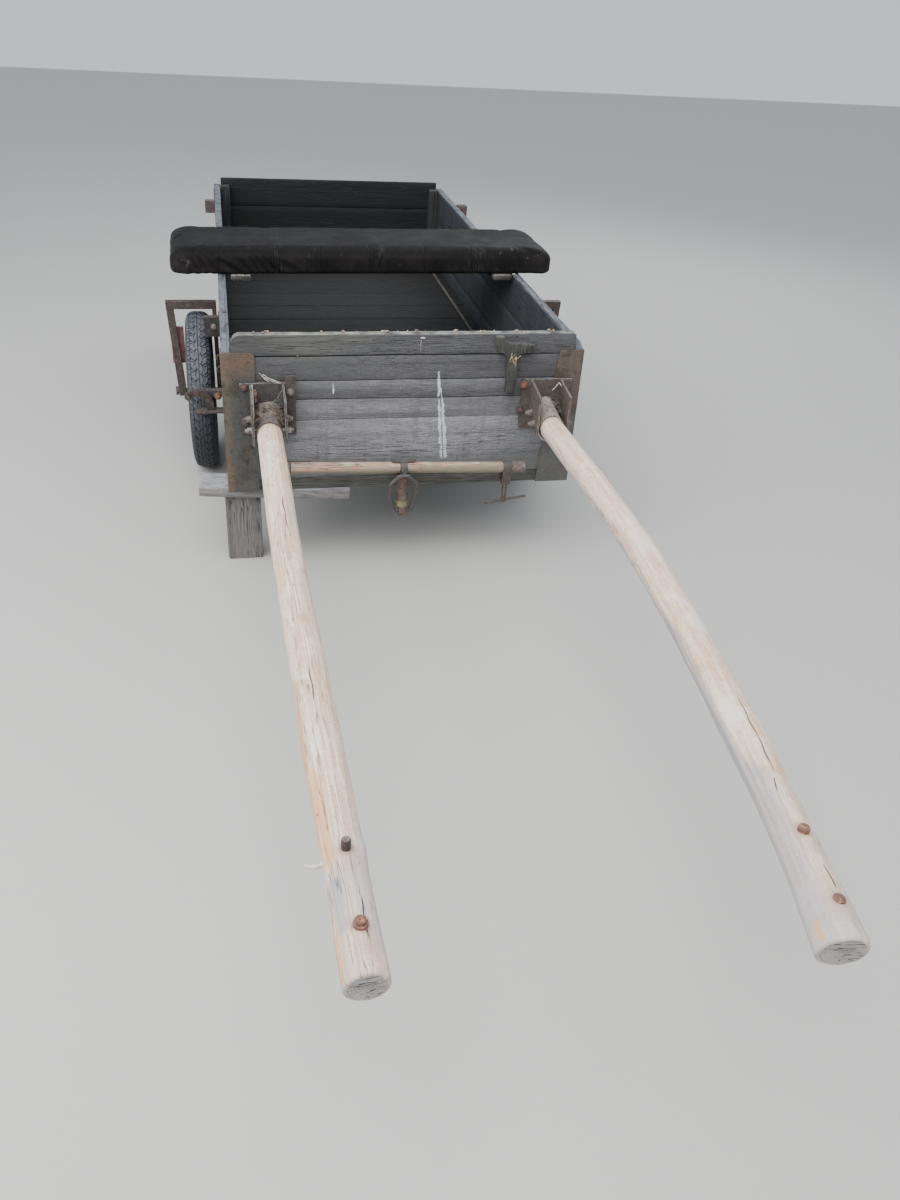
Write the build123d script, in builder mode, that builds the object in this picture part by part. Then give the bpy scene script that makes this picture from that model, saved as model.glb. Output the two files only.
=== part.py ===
"""Two-wheeled horse-drawn box cart on motorcycle wheels, parked on a timber prop.

Millimetres, +Z up, the shafts point to -Y, ground at z = 0, and the origin is under the
middle of the overall box.
"""
import os
from math import asin, cos, radians, sin, tan

from build123d import *

os.makedirs("parts", exist_ok=True)

# Overall
ground_clearance = 292.0
box_length = 2386.0
box_width = 1150.0
box_height = 488.0
shaft_reach = 2085.0
hinge_proud = 16.0
seat_gap = 0.3
board_gap = 0.8
running_gap = 0.05
moving_gap = 5.0

# Boards and timbers
side_thickness = 28.0
front_thickness = 30.0
tail_thickness = 22.0
floor_thickness = 20.0
floor_height = 126.0
front_rise = 38.0
tail_rise = 30.0
rail_width = 50.0
rail_height = 72.0
post_size = 45.0
floor_board_count = 12
side_board_count = 3
front_beam_depth = 44.0
front_beam_height = 44.0
front_beam_set_back = 6.0

# Wheels and axle
wheel_radius = 302.0
tyre_width = 96.0
wheel_stand_off = 87.0
axle_back = 870.0
axle_square = 36.0
spindle_radius = 10.0
spindle_reach = 189.0
rim_radius = 203.0
rim_width = 62.0
rim_wall = 3.0
hub_width = 92.0
hub_radius = 32.0
flange_radius = 58.0
flange_thickness = 6.0
spoke_radius = 2.2
spokes_per_side = 16

# Wheel fork over the tyre
fork_top = 656.0
fork_top_reach = 199.0
fork_foot_reach = 175.0
fork_inner_gap = 13.0
fork_tube = 28.0
fork_flat = 16.0
fork_foot_drop = 17.0

# Shafts and their brackets
shaft_radius = 40.0
shaft_root_drop = 245.0
shaft_tip_drop = 300.0
bracket_plate = 6.0
bracket_width = 166.0
bracket_height = 168.0
bracket_top_drop = 113.0
cheek_gap = 94.0
socket_length = 100.0
socket_wall = 4.0
cross_bolt_radius = 6.0

# Whippletree
tree_radius = 18.5
tree_half_length = 412.0
tree_forward = 75.0
tree_height = 105.0
tree_x = -17.0
tree_tilt = 1.8
tree_pin_radius = 6.0
band_thickness = 3.0

# Seat
seat_left_overhang = 174.0
seat_right_overhang = 130.0
seat_back_from_front = 766.0
seat_yaw = 1.4
seat_depth = 408.0
seat_board_thickness = 18.0
cushion_thickness = 71.0

# Prop
prop_plank_thickness = 36.0
prop_plank_length = 500.0
prop_plank_width = 118.0
prop_plank_yaw = -7.0
prop_post_width = 120.0
prop_post_depth = 70.0

# Levels and stations that follow
wall_top = ground_clearance + box_height
floor_top = ground_clearance + floor_height
rail_top = floor_top - floor_thickness - seat_gap
rail_bottom = rail_top - rail_height
axle_z = wheel_radius
overall_length = shaft_reach + box_length + hinge_proud
front_y = shaft_reach - overall_length / 2
tail_y = front_y + box_length
axle_y = front_y + axle_back
half_width = box_width / 2
inner_x = half_width - side_thickness
wheel_x = half_width + wheel_stand_off
spindle_tip_x = half_width + spindle_reach
fork_top_outer_x = half_width + fork_top_reach
fork_foot_outer_x = half_width + fork_foot_reach
fork_inner_x = half_width + fork_inner_gap
sides = (("left", -1), ("right", 1))


def save(builder, name):
    """Label a finished piece and write its file."""
    builder.part.label = name
    export_step(builder.part, f"parts/{name}.step")


def block(x0, x1, y0, y1, z0, z1):
    """A block between two corners, added to the open part."""
    with Locations(((x0 + x1) / 2, (y0 + y1) / 2, (z0 + z1) / 2)):
        Box(abs(x1 - x0), abs(y1 - y0), abs(z1 - z0))


# Front: five boards between the side walls, the top one standing proud with worn corners
front_board_heights = (70.0, 79.0, 62.0, 70.0)
front_bottom = ground_clearance + front_beam_height
with BuildPart() as front_boards:
    board_top = wall_top + front_rise
    for height in front_board_heights + (board_top - sum(front_board_heights) - front_bottom,):
        block(-inner_x + seat_gap, inner_x - seat_gap, front_y, front_y + front_thickness,
              board_top - height + board_gap, board_top)
        board_top -= height
    top_edge = front_boards.edges().filter_by(Axis.Y).group_by(Axis.Z)[-1].sort_by(Axis.X)
    fillet(top_edge[0], radius=34)
    chamfer(top_edge[-1], length=7)
save(front_boards, "front_boards")

with BuildPart() as front_beam:
    beam_y = front_y + front_beam_set_back
    block(-inner_x + seat_gap, inner_x - seat_gap, beam_y, beam_y + front_beam_depth,
          ground_clearance + seat_gap, front_bottom)
save(front_beam, "front_beam")
beam_back = front_y + front_beam_set_back + front_beam_depth

# Side walls of three boards each, the front top corner cut off
side_bottom = rail_bottom
side_board_height = (wall_top - side_bottom) / side_board_count
for side, sign in sides:
    with BuildPart() as wall:
        for level in range(side_board_count):
            bottom = side_bottom + level * side_board_height
            block(sign * inner_x, sign * half_width, front_y, tail_y,
                  bottom + board_gap, bottom + side_board_height)
        chamfer(wall.edges().filter_by(Axis.X).group_by(Axis.Z)[-1].sort_by(Axis.Y)[0], length=18)
    save(wall, f"side_wall_{side}")

# Floor of cross boards, and the loose batten beside the right wall
floor_start = front_y + front_thickness + seat_gap
floor_end = tail_y - tail_thickness
floor_pitch = (floor_end - floor_start) / floor_board_count
with BuildPart() as floor:
    for number in range(floor_board_count):
        start = floor_start + number * floor_pitch
        block(-inner_x + seat_gap, inner_x - seat_gap, start, start + floor_pitch - board_gap,
              floor_top - floor_thickness, floor_top)
save(floor, "floor_boards")

batten_width = 15.0
batten_height = 10.0
batten_x = inner_x - 50
with BuildPart() as batten:
    block(batten_x - batten_width / 2, batten_x + batten_width / 2, floor_start + post_size + 10,
          floor_end - post_size - 10, floor_top + seat_gap, floor_top + seat_gap + batten_height)
save(batten, "floor_batten")

# Under-frame: two long rails, cross bearers between them and a beam under the tail
rail_outer_x = inner_x - seat_gap
rail_inner_x = rail_outer_x - rail_width
tail_beam_depth = 45.0
rail_start = beam_back + seat_gap
rail_end = tail_y - tail_beam_depth - seat_gap
for side, sign in sides:
    with BuildPart() as rail:
        block(sign * rail_inner_x, sign * rail_outer_x, rail_start, rail_end,
              rail_bottom, rail_top)
    save(rail, f"frame_rail_{side}")

bearer_width = 50.0
bearer_stations = (0.18, 0.4, 0.66)
with BuildPart() as bearers:
    for share in bearer_stations:
        middle = rail_start + share * (rail_end - rail_start)
        block(-rail_inner_x + seat_gap, rail_inner_x - seat_gap, middle - bearer_width / 2,
              middle + bearer_width / 2, rail_bottom + 7, rail_top)
save(bearers, "cross_bearers")

with BuildPart() as tail_beam:
    block(-rail_outer_x, rail_outer_x, tail_y - tail_beam_depth, tail_y, rail_bottom, rail_top)
save(tail_beam, "tail_beam")

# Corner posts inside the box, which the boards are nailed to
with BuildPart() as corner_posts:
    for sign in (-1, 1):
        for start in (floor_start, floor_end - post_size - moving_gap):
            block(sign * (inner_x - seat_gap), sign * (inner_x - seat_gap - post_size),
                  start, start + post_size, floor_top + seat_gap, wall_top)
save(corner_posts, "corner_posts")

# Corner plates: iron angles round the front corners, the right one widening downwards
plate = 4.0
plate_side_leg = 46.0
plate_top_drop = 19.0
plate_widths = {"left": (98.0, 98.0), "right": (78.0, 112.0)}
for side, sign in sides:
    top_width, bottom_width = plate_widths[side]
    outer = half_width + plate
    plate_top = wall_top - plate_top_drop
    with BuildPart() as corner:
        with BuildSketch(Plane.XZ.offset(-(front_y - plate))):
            Polygon(
                (sign * outer, ground_clearance),
                (sign * (half_width - bottom_width), ground_clearance),
                (sign * (half_width - top_width), plate_top),
                (sign * outer, plate_top),
                align=None,
            )
        extrude(amount=-plate)
        block(sign * half_width, sign * outer, front_y, front_y + plate_side_leg,
              side_bottom, plate_top)
        inner_top = corner.edges().filter_by(Axis.Y).group_by(Axis.Z)[-1].sort_by(Axis.X)
        fillet(inner_top[-1 if sign < 0 else 0], radius=10)
    save(corner, f"corner_plate_{side}")

# Rear corner irons and the boxed keepers of the tailboard
keeper_x = 44.0
keeper_y = 40.0
keeper_z = 52.0
keeper_back = 400.0
keeper_drop = 23.0
for side, sign in sides:
    outer = half_width + plate
    with BuildPart() as rear_iron:
        block(sign * half_width, sign * outer, tail_y - plate_side_leg, tail_y,
              side_bottom, wall_top - plate_top_drop)
        block(sign * (inner_x + 1), sign * outer, tail_y, tail_y + plate,
              side_bottom, wall_top - plate_top_drop)
    save(rear_iron, f"rear_iron_{side}")
    with BuildPart() as keeper:
        centre_y = tail_y - keeper_back
        centre_z = wall_top - keeper_drop
        block(sign * (half_width + seat_gap), sign * (half_width + seat_gap + keeper_x),
              centre_y - keeper_y / 2, centre_y + keeper_y / 2,
              centre_z - keeper_z / 2, centre_z + keeper_z / 2)
    save(keeper, f"tail_keeper_{side}")

# Tailboard: three boards, two strap hinges with knuckles, and fixed leaves with their pins
tail_bottom = floor_top + moving_gap
tail_top = wall_top + tail_rise
tail_half = inner_x - moving_gap
tail_board_count = 3
tail_board_height = (tail_top - tail_bottom) / tail_board_count
with BuildPart() as tailboard:
    for level in range(tail_board_count):
        bottom = tail_bottom + level * tail_board_height
        block(-tail_half, tail_half, tail_y - tail_thickness, tail_y,
              bottom + board_gap, bottom + tail_board_height)
save(tailboard, "tailboard_boards")

strap_x = 380.0
strap_width = 44.0
strap_thickness = 5.0
knuckle_radius = 9.0
knuckle_wall = 4.0
hinge_pin_radius = knuckle_radius - knuckle_wall
hinge_y = tail_y + hinge_proud - knuckle_radius
hinge_z = floor_top - 14
knuckle_gap = 1.0
leaf_knuckle = 18.0
with BuildPart() as straps:
    for sign in (-1, 1):
        middle = sign * strap_x
        block(middle - strap_width / 2, middle + strap_width / 2, tail_y + seat_gap,
              tail_y + seat_gap + strap_thickness, hinge_z, tail_top - 40)
        with Locations(Location((middle, hinge_y, hinge_z), (0, 90, 0))):
            Cylinder(knuckle_radius, strap_width)
            Cylinder(hinge_pin_radius + running_gap, strap_width, mode=Mode.SUBTRACT)
save(straps, "tailboard_straps")

with BuildPart() as leaves:
    for sign in (-1, 1):
        middle = sign * strap_x
        with Locations(Location((middle, hinge_y, hinge_z), (0, 90, 0))):
            Cylinder(hinge_pin_radius, strap_width + 2 * (leaf_knuckle + knuckle_gap))
        for end in (-1, 1):
            near = middle + end * (strap_width / 2 + knuckle_gap)
            far = near + end * leaf_knuckle
            with Locations(Location(((near + far) / 2, hinge_y, hinge_z), (0, 90, 0))):
                Cylinder(knuckle_radius, leaf_knuckle)
            block(near, far, tail_y + seat_gap, tail_y + seat_gap + strap_thickness,
                  rail_bottom, hinge_z)
save(leaves, "tailboard_leaves")

# How far the shaft brackets' middles stand in from the box's sides
bracket_inset = {"left": 132.5, "right": 112.0}

# Wooden rein cleat on the front boards, a fork with two arms
cleat_thickness = 22.0
cleat_x = half_width - bracket_inset["right"] - 119
cleat_length = 157.0
cleat_plane = Plane.XZ.offset(-(front_y - seat_gap))
with BuildPart() as cleat:
    with BuildSketch(cleat_plane):
        with BuildLine():
            left_arm = Polyline(
                (cleat_x + 11, wall_top - cleat_length),
                (cleat_x - 21, wall_top - cleat_length),
                (cleat_x - 25, wall_top - 37),
                (cleat_x - 60, wall_top - 14),
                (cleat_x - 67, wall_top + 31),
                (cleat_x - 42, wall_top + 31),
                (cleat_x - 38, wall_top + 20),
            )
            dip = ThreePointArc(left_arm @ 1, (cleat_x - 6, wall_top + 10),
                                (cleat_x + 24, wall_top + 11))
            Polyline(
                dip @ 1,
                (cleat_x + 59, wall_top + 5),
                (cleat_x + 51, wall_top - 16),
                (cleat_x + 23, wall_top - 21),
                (cleat_x + 8, wall_top - 32),
                left_arm @ 0,
            )
        make_face()
    extrude(amount=cleat_thickness)
save(cleat, "rein_cleat")

# Shaft brackets: a back plate packed out level over the corner plate, with two cheeks
bracket_x = {side: half_width - inset for side, inset in bracket_inset.items()}
bracket_back_y = front_y - plate - seat_gap
bracket_front_y = bracket_back_y - bracket_plate
cheek_profile = ((118.0, -134.0), (121.0, -272.0), (10.0, -240.0), (10.0, -118.0))
cross_bolts = ((46.0, -215.0), (84.0, -237.0))
bolt_clearance = 0.3
nut_radius = 11.0
nut_thickness = 11.0
washer_thickness = 3.0
for side, sign in sides:
    centre = sign * bracket_x[side]
    top = wall_top - bracket_top_drop
    with BuildPart() as bracket:
        block(centre - bracket_width / 2, centre + bracket_width / 2,
              bracket_front_y, bracket_back_y, top - bracket_height, top)
        packing_edge = sign * (half_width - plate_widths[side][1] - 2)
        block(packing_edge, centre - sign * bracket_width / 2,
              bracket_back_y, front_y - seat_gap, top - bracket_height, top)
        for end in (-1, 1):
            face = centre + end * (cheek_gap / 2 + bracket_plate / 2)
            with BuildSketch(Plane.YZ.offset(face)):
                Polygon(*[(front_y - forward, wall_top + level) for forward, level in cheek_profile],
                        align=None)
            extrude(amount=bracket_plate / 2, both=True)
        for forward, level in cross_bolts:
            with Locations(Location((centre, front_y - forward, wall_top + level), (0, 90, 0))):
                Cylinder(cross_bolt_radius + bolt_clearance, 2 * cheek_gap, mode=Mode.SUBTRACT)
    save(bracket, f"shaft_bracket_{side}")

# An extra upright strap on the left bracket
strap_edge = -bracket_x["left"] + cheek_gap / 2 + bracket_plate + 3
strap_width = 31.0
strap_top_drop = 88.0
strap_foot_drop = 282.0
with BuildPart() as bracket_strap:
    block(strap_edge, strap_edge + strap_width, bracket_front_y - seat_gap - 7, bracket_front_y - seat_gap,
          wall_top - strap_foot_drop, wall_top - strap_top_drop)
save(bracket_strap, "bracket_strap")

# Shafts: bent poles of round runs and large arcs. Each row is a station before the front
# face and the way across from the bracket's middle. The tenon tapers up into a socket.
left_shaft_short = 35.0
shaft_routes = {
    "left": ((socket_length, 0.0), (800.0, 5.5), (shaft_reach - left_shaft_short, 42.5)),
    "right": ((socket_length, 0.0), (833.0, 39.0), (1560.0, -5.0), (shaft_reach, -71.0)),
}
socket_front_radius = 42.5
socket_back_radius = 27.0
socket_back_rise = 44.0
socket_back = front_y - bracket_front_y + seat_gap
cone_overrun = 60.0
tenon_clearance = 0.3
tenon_stop = 16.0
pole_lead = 6.0
pole_overrun = 40.0


def shaft_level(forward):
    """Height of a pole's axis at a distance before the front face."""
    share = (forward - socket_length) / (shaft_reach - socket_length)
    return wall_top - shaft_root_drop - share * (shaft_tip_drop - shaft_root_drop)


def largest_arcs(points):
    """The radius at each inner corner that its two runs leave room for."""
    radii = []
    for before, corner, after in zip(points, points[1:], points[2:]):
        run_in = Vector(*corner) - Vector(*before)
        run_out = Vector(*after) - Vector(*corner)
        turn = radians(run_in.get_angle(run_out))
        radii.append(0.45 * min(run_in.length, run_out.length) / tan(turn / 2))
    return radii


def socket_cone(centre, wall, front_at, back_at):
    """A cone rising along the socket's axis between two upright planes, less a wall."""
    front = Vector(centre, front_y - socket_length, shaft_level(socket_length))
    back = Vector(centre, front_y - socket_back, shaft_level(socket_length) + socket_back_rise)
    way = back - front
    narrowing = (socket_front_radius - socket_back_radius) / way.length
    place = Location(Plane(origin=front + way / 2, z_dir=way))
    middle = (socket_front_radius + socket_back_radius) / 2 - wall
    half = way.length / 2 + cone_overrun
    with Locations(place):
        Cone(middle + narrowing * half, middle - narrowing * half, 2 * half)
    split(bisect_by=Plane.XZ.offset(-(front_y - front_at)), keep=Keep.BOTTOM)
    split(bisect_by=Plane.XZ.offset(-(front_y - back_at)), keep=Keep.TOP)


for side, sign in sides:
    centre = sign * bracket_x[side]
    with BuildPart() as bore:
        socket_cone(centre, socket_wall, socket_length + 1, socket_back - 1)
    with BuildPart() as socket:
        socket_cone(centre, 0, socket_length, socket_back)
        add(bore.part, mode=Mode.SUBTRACT)
        for forward, level in cross_bolts:
            with Locations(Location((centre, front_y - forward, wall_top + level), (0, 90, 0))):
                Cylinder(cross_bolt_radius + bolt_clearance, 2 * cheek_gap, mode=Mode.SUBTRACT)
    save(socket, f"shaft_socket_{side}")

    reach = shaft_routes[side][-1][0]
    points = [(centre + across, front_y - forward, shaft_level(forward))
              for forward, across in shaft_routes[side]]
    first_way = (Vector(*points[1]) - Vector(*points[0])).normalized()
    last_way = (Vector(*points[-1]) - Vector(*points[-2])).normalized()
    route = [Vector(*points[0]) - first_way * pole_lead] + [Vector(*p) for p in points[1:-1]]
    route.append(Vector(*points[-1]) + last_way * pole_overrun)
    corners = [tuple(point) for point in route]
    with BuildPart() as pole:
        with BuildLine() as route_line:
            FilletPolyline(*corners, radius=largest_arcs(corners))
        with BuildSketch(Plane(origin=corners[0], z_dir=first_way)):
            Circle(shaft_radius)
        sweep()
        split(bisect_by=Plane.XZ.offset(-(front_y - reach)), keep=Keep.BOTTOM)
        split(bisect_by=Plane.XZ.offset(-(front_y - socket_length - seat_gap)), keep=Keep.TOP)
    with BuildPart() as tenon:
        socket_cone(centre, socket_wall + tenon_clearance, socket_length + seat_gap, tenon_stop)
    with BuildPart() as shaft:
        add(pole.part)
        add(tenon.part)
        for forward, level in cross_bolts:
            with Locations(Location((centre, front_y - forward, wall_top + level), (0, 90, 0))):
                Cylinder(cross_bolt_radius + bolt_clearance, 2 * cheek_gap, mode=Mode.SUBTRACT)
    save(shaft, f"shaft_{side}")

    with BuildPart() as bolts:
        head_x = cheek_gap / 2 + bracket_plate + seat_gap
        for forward, level in cross_bolts:
            place = Location((centre, front_y - forward, wall_top + level), (0, 90, 0))
            with Locations(place):
                Cylinder(cross_bolt_radius, 2 * (head_x + washer_thickness + nut_thickness + 7))
            for end in (-1, 1):
                with BuildSketch(Plane(place).offset(end * head_x)):
                    Circle(nut_radius + 2)
                extrude(amount=end * washer_thickness)
                with BuildSketch(Plane(place).offset(end * (head_x + washer_thickness))):
                    RegularPolygon(radius=nut_radius, side_count=6)
                extrude(amount=end * nut_thickness)
    save(bolts, f"shaft_bolts_{side}")

# Whippletree: a round bar tilted a little, turning on an upright pin under its middle
tree_y = front_y - tree_forward
tree_z = ground_clearance + tree_height
tree_place = Location((tree_x, tree_y, tree_z), (0, tree_tilt, 0))
ferrule_length = 46.0
ferrule_wall = 3.0
ferrule_seat = tree_radius - ferrule_wall + 0.5
pin_top = 10.0
with BuildPart() as tree:
    with Locations(tree_place * Location((0, 0, 0), (0, 90, 0))):
        Cylinder(tree_radius, 2 * (tree_half_length - ferrule_length))
        Cylinder(ferrule_seat - seat_gap, 2 * (tree_half_length - ferrule_wall - seat_gap))
    with Locations((tree_x, tree_y, tree_z + pin_top - 50)):
        Cylinder(tree_pin_radius + running_gap, 100, mode=Mode.SUBTRACT)
save(tree, "whippletree")

with BuildPart() as ferrules:
    for end in (-1, 1):
        middle = end * (tree_half_length - ferrule_length / 2)
        with Locations(tree_place * Location((middle, 0, 0), (0, 90, 0))):
            Cylinder(ferrule_seat + ferrule_wall, ferrule_length - 2 * seat_gap)
        inside = middle - end * ferrule_wall
        with Locations(tree_place * Location((inside, 0, 0), (0, 90, 0))):
            Cylinder(ferrule_seat, ferrule_length, mode=Mode.SUBTRACT)
save(ferrules, "tree_ferrules")

# Saddle band round the tree's middle, its ends turned up, with a knob that holds the link
band_width = 24.0
saddle_half = 41.0
saddle_lift = 8.0
knob_radius = 9.0
knob_length = 15.0
band_outer = tree_radius + seat_gap + band_thickness
with BuildPart() as saddle:
    with Locations(tree_place * Location((0, 0, 0), (0, 90, 0))):
        Cylinder(band_outer, band_width)
    with BuildSketch(Plane(tree_place).rotated((90, 0, 0)).offset(-band_width / 3)):
        with BuildLine():
            under = ThreePointArc((-saddle_half, tree_radius + saddle_lift), (0, tree_radius),
                                  (saddle_half, tree_radius + saddle_lift))
            over = ThreePointArc((saddle_half - 2, tree_radius + saddle_lift + 5),
                                 (0, tree_radius + 5), (2 - saddle_half, tree_radius + saddle_lift + 5))
            Line(under @ 1, over @ 0)
            Line(over @ 1, under @ 0)
        make_face()
    extrude(amount=2 * band_width / 3)
    with Locations(tree_place * Location((0, -band_outer - knob_length / 2 + 2, 0), (90, 0, 0))):
        Cylinder(knob_radius, knob_length)
    with Locations(tree_place * Location((0, 0, 0), (0, 90, 0))):
        Cylinder(tree_radius + seat_gap, 3 * band_width, mode=Mode.SUBTRACT)
    with Locations((tree_x, tree_y, tree_z - tree_radius - band_thickness)):
        Cylinder(tree_pin_radius + 1, 4 * band_thickness, mode=Mode.SUBTRACT)
save(saddle, "tree_saddle")

# Pear-shaped link from the knob down to the eye of the draw bar, which is on the swivel axis
link_radius = 6.5
link_forward = 32.0
link_half = ((13.0, 0.0), (45.0, 34.0), (42.0, 88.0), (27.0, 144.0))
link_corner = 10.0
link_top_drop = knob_radius + link_radius + seat_gap
link_tilt = asin(link_forward / link_half[-1][1])
link_plane = Plane(
    origin=(tree_x, tree_y - link_forward, tree_z - link_top_drop),
    x_dir=(1, 0, 0),
    z_dir=(0, -cos(link_tilt), -sin(link_tilt)),
)
with BuildPart() as link:
    with BuildLine(link_plane) as loop:
        right_half = [(across, -down) for across, down in link_half]
        left_half = [(-across, -down) for across, down in reversed(link_half)]
        FilletPolyline(*right_half, *left_half, radius=link_corner, close=True)
    with BuildSketch(Plane(origin=loop.line @ 0, z_dir=loop.line % 0)):
        Circle(link_radius)
    sweep(path=loop.line)
save(link, "pear_link")

# Draw bar: a bracket on the front boards whose ear carries the pin, its leg ends in an eye
ear_top = tree_z - band_outer - 2
ear_thickness = 6.0
draw_half = 22.0
draw_leg = 16.0
collar_radius = 19.0
collar_top = tree_z - 97
collar_bottom = tree_z - 138
eye_z = tree_z - link_top_drop - link_half[-1][1] * cos(link_tilt)
eye_radius = 18.0
eye_width = 20.0
eye_hole = link_radius + 3
with BuildPart() as draw_bar:
    block(tree_x - draw_half, tree_x + draw_half, front_y - seat_gap - ear_thickness,
          front_y - seat_gap, front_bottom + 2, ear_top)
    block(tree_x - draw_half, tree_x + draw_half, tree_y - draw_leg, front_y - seat_gap,
          ear_top - ear_thickness, ear_top)
    with Locations((tree_x, tree_y, (collar_top + ear_top - 1) / 2)):
        Cylinder(draw_leg, ear_top - 1 - collar_top)
    with Locations((tree_x, tree_y, (collar_top + collar_bottom) / 2)):
        Cylinder(collar_radius, collar_top - collar_bottom)
    with Locations((tree_x, tree_y, (collar_bottom + eye_z) / 2)):
        Box(eye_width, 2 * eye_radius, collar_bottom - eye_z)
    with Locations(Location((tree_x, tree_y, eye_z), (0, 90, 0))):
        Cylinder(eye_radius, eye_width)
        Cylinder(eye_hole, 2 * eye_width, mode=Mode.SUBTRACT)
    with Locations((tree_x, tree_y, (ear_top - 1 + tree_z + pin_top - 1) / 2)):
        Cylinder(tree_pin_radius, tree_z + pin_top - ear_top)
save(draw_bar, "draw_bar")

# Trace toggle: a strap loop round the whippletree's right end, a link and a bar under it
toggle_x = 350.0
strap_loop_width = 28.0
strap_loop_drop = 54.0
hanger_leg = 3.0
hanger_half = 6.0
toggle_drop = 122.0
toggle_knob = 9.0
toggle_length = 143.0
toggle_radius = 4.0
toggle_rise = 8.1
toggle_bar_shift = 7.0
hanger_bottom = toggle_drop - toggle_knob + 1.5
hang_place = Location((tree_place * Location((toggle_x, 0, 0))).position)
with BuildPart() as toggle:
    with BuildSketch(Plane(tree_place * Location((toggle_x, 0, 0), (0, 90, 0)))):
        Circle(band_outer)
        with Locations((strap_loop_drop / 2, 0)):
            Rectangle(strap_loop_drop, 2 * band_outer)
        with Locations((strap_loop_drop / 2 + band_thickness, 0)):
            Rectangle(strap_loop_drop, 2 * (band_outer - band_thickness), mode=Mode.SUBTRACT)
        Circle(tree_radius + seat_gap, mode=Mode.SUBTRACT)
    extrude(amount=strap_loop_width / 2, both=True)
    with BuildSketch(Plane(tree_place * Location((toggle_x, 0, 0), (0, 90, 0)))):
        with Locations((strap_loop_drop - band_thickness / 2, 0)):
            Rectangle(band_thickness, 2 * band_outer)
    extrude(amount=strap_loop_width / 2, both=True)
    for end in (-1, 1):
        drop = (strap_loop_drop - 1 + hanger_bottom) / 2
        with Locations(hang_place * Location((end * hanger_half, 0, -drop))):
            Cylinder(hanger_leg, hanger_bottom - strap_loop_drop + 1)
    with Locations(hang_place * Location((0, 0, -hanger_bottom + hanger_leg), (0, 90, 0))):
        Cylinder(hanger_leg, 2 * hanger_half)
    knob_place = hang_place * Location((0, 0, -toggle_drop), (0, 90 - toggle_rise, 0))
    with Locations(knob_place):
        Sphere(toggle_knob)
    with Locations(knob_place * Location((0, 0, toggle_bar_shift))):
        Cylinder(toggle_radius, toggle_length)
save(toggle, "trace_toggle")

# Seat: a cushion on a board laid a little askew across the walls, kept between them by two
# battens. All three are placed from the seat's middle.
seat_inset = 14.0
seat_length = 2 * half_width + seat_left_overhang + seat_right_overhang
seat_middle_x = (seat_right_overhang - seat_left_overhang) / 2
seat_place = Location((seat_middle_x, front_y + seat_back_from_front + seat_depth / 2, wall_top),
                      (0, 0, seat_yaw))
seat_board_bottom = seat_gap
seat_board_level = seat_board_bottom + seat_board_thickness / 2
with BuildPart() as seat_board:
    with Locations(seat_place * Location((0, 0, seat_board_level))):
        Box(seat_length - 2 * seat_inset, seat_depth - 2 * seat_inset, seat_board_thickness)
save(seat_board, "seat_board")

seat_batten_width = 74.0
seat_batten_height = 18.0
batten_play = 8.0
with BuildPart() as seat_battens:
    for sign in (-1, 1):
        batten_middle = sign * (inner_x - moving_gap - batten_play - seat_batten_width / 2)
        with Locations(seat_place * Location((batten_middle - seat_middle_x, -seat_inset / 4,
                                              -seat_batten_height / 2))):
            Box(seat_batten_width, seat_depth - 3 * seat_inset / 2, seat_batten_height)
save(seat_battens, "seat_battens")

cushion_level = seat_board_bottom + seat_board_thickness + seat_gap + cushion_thickness / 2
with BuildPart() as cushion:
    with Locations(seat_place * Location((0, 0, cushion_level))):
        Box(seat_length, seat_depth, cushion_thickness)
    fillet(cushion.edges().filter_by(Axis.Z), radius=36)
    fillet(cushion.faces().sort_by(Axis.Z)[-1].edges(), radius=24)
save(cushion, "seat_cushion")

# Axle: a square beam on pads under the rails, with a round spindle at each end
spindle_start = fork_inner_x - seat_gap
nut_start = fork_foot_outer_x + 3
with BuildPart() as axle:
    with Locations((0, axle_y, axle_z)):
        Box(2 * spindle_start, axle_square, axle_square)
    with Locations(Location((0, axle_y, axle_z), (0, 90, 0))):
        Cylinder(spindle_radius, 2 * spindle_tip_x)
    for end in (-1, 1):
        with BuildSketch(Plane.YZ.offset(end * nut_start)):
            with Locations((axle_y, axle_z)):
                RegularPolygon(radius=17, side_count=6)
        extrude(amount=end * 10)
save(axle, "axle")

pad_half_length = 40.0
with BuildPart() as axle_pads:
    for sign in (-1, 1):
        block(sign * rail_inner_x, sign * rail_outer_x,
              axle_y - pad_half_length, axle_y + pad_half_length,
              axle_z + axle_square / 2 + seat_gap, rail_bottom - seat_gap)
save(axle_pads, "axle_pads")

# Wheel forks: an upside-down U over each tyre, its feet holding the spindle on both sides
fork_foot = axle_z - fork_foot_drop
fork_slot_top = fork_top - fork_tube
for side, sign in sides:
    inner_edge = fork_inner_x + fork_flat
    with BuildPart() as fork:
        with BuildSketch(Plane.XZ.offset(-axle_y)):
            Polygon(
                (sign * fork_inner_x, fork_foot),
                (sign * fork_inner_x, fork_top),
                (sign * fork_top_outer_x, fork_top),
                (sign * fork_foot_outer_x, fork_foot),
                (sign * (fork_foot_outer_x - fork_tube), fork_foot),
                (sign * (fork_top_outer_x - fork_tube), fork_slot_top),
                (sign * inner_edge, fork_slot_top),
                (sign * inner_edge, fork_foot),
                align=None,
            )
        extrude(amount=fork_tube / 2, both=True)
        with Locations(Location((sign * wheel_x, axle_y, axle_z), (0, 90, 0))):
            Cylinder(spindle_radius + bolt_clearance, 4 * tyre_width, mode=Mode.SUBTRACT)
    save(fork, f"wheel_fork_{side}")

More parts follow.
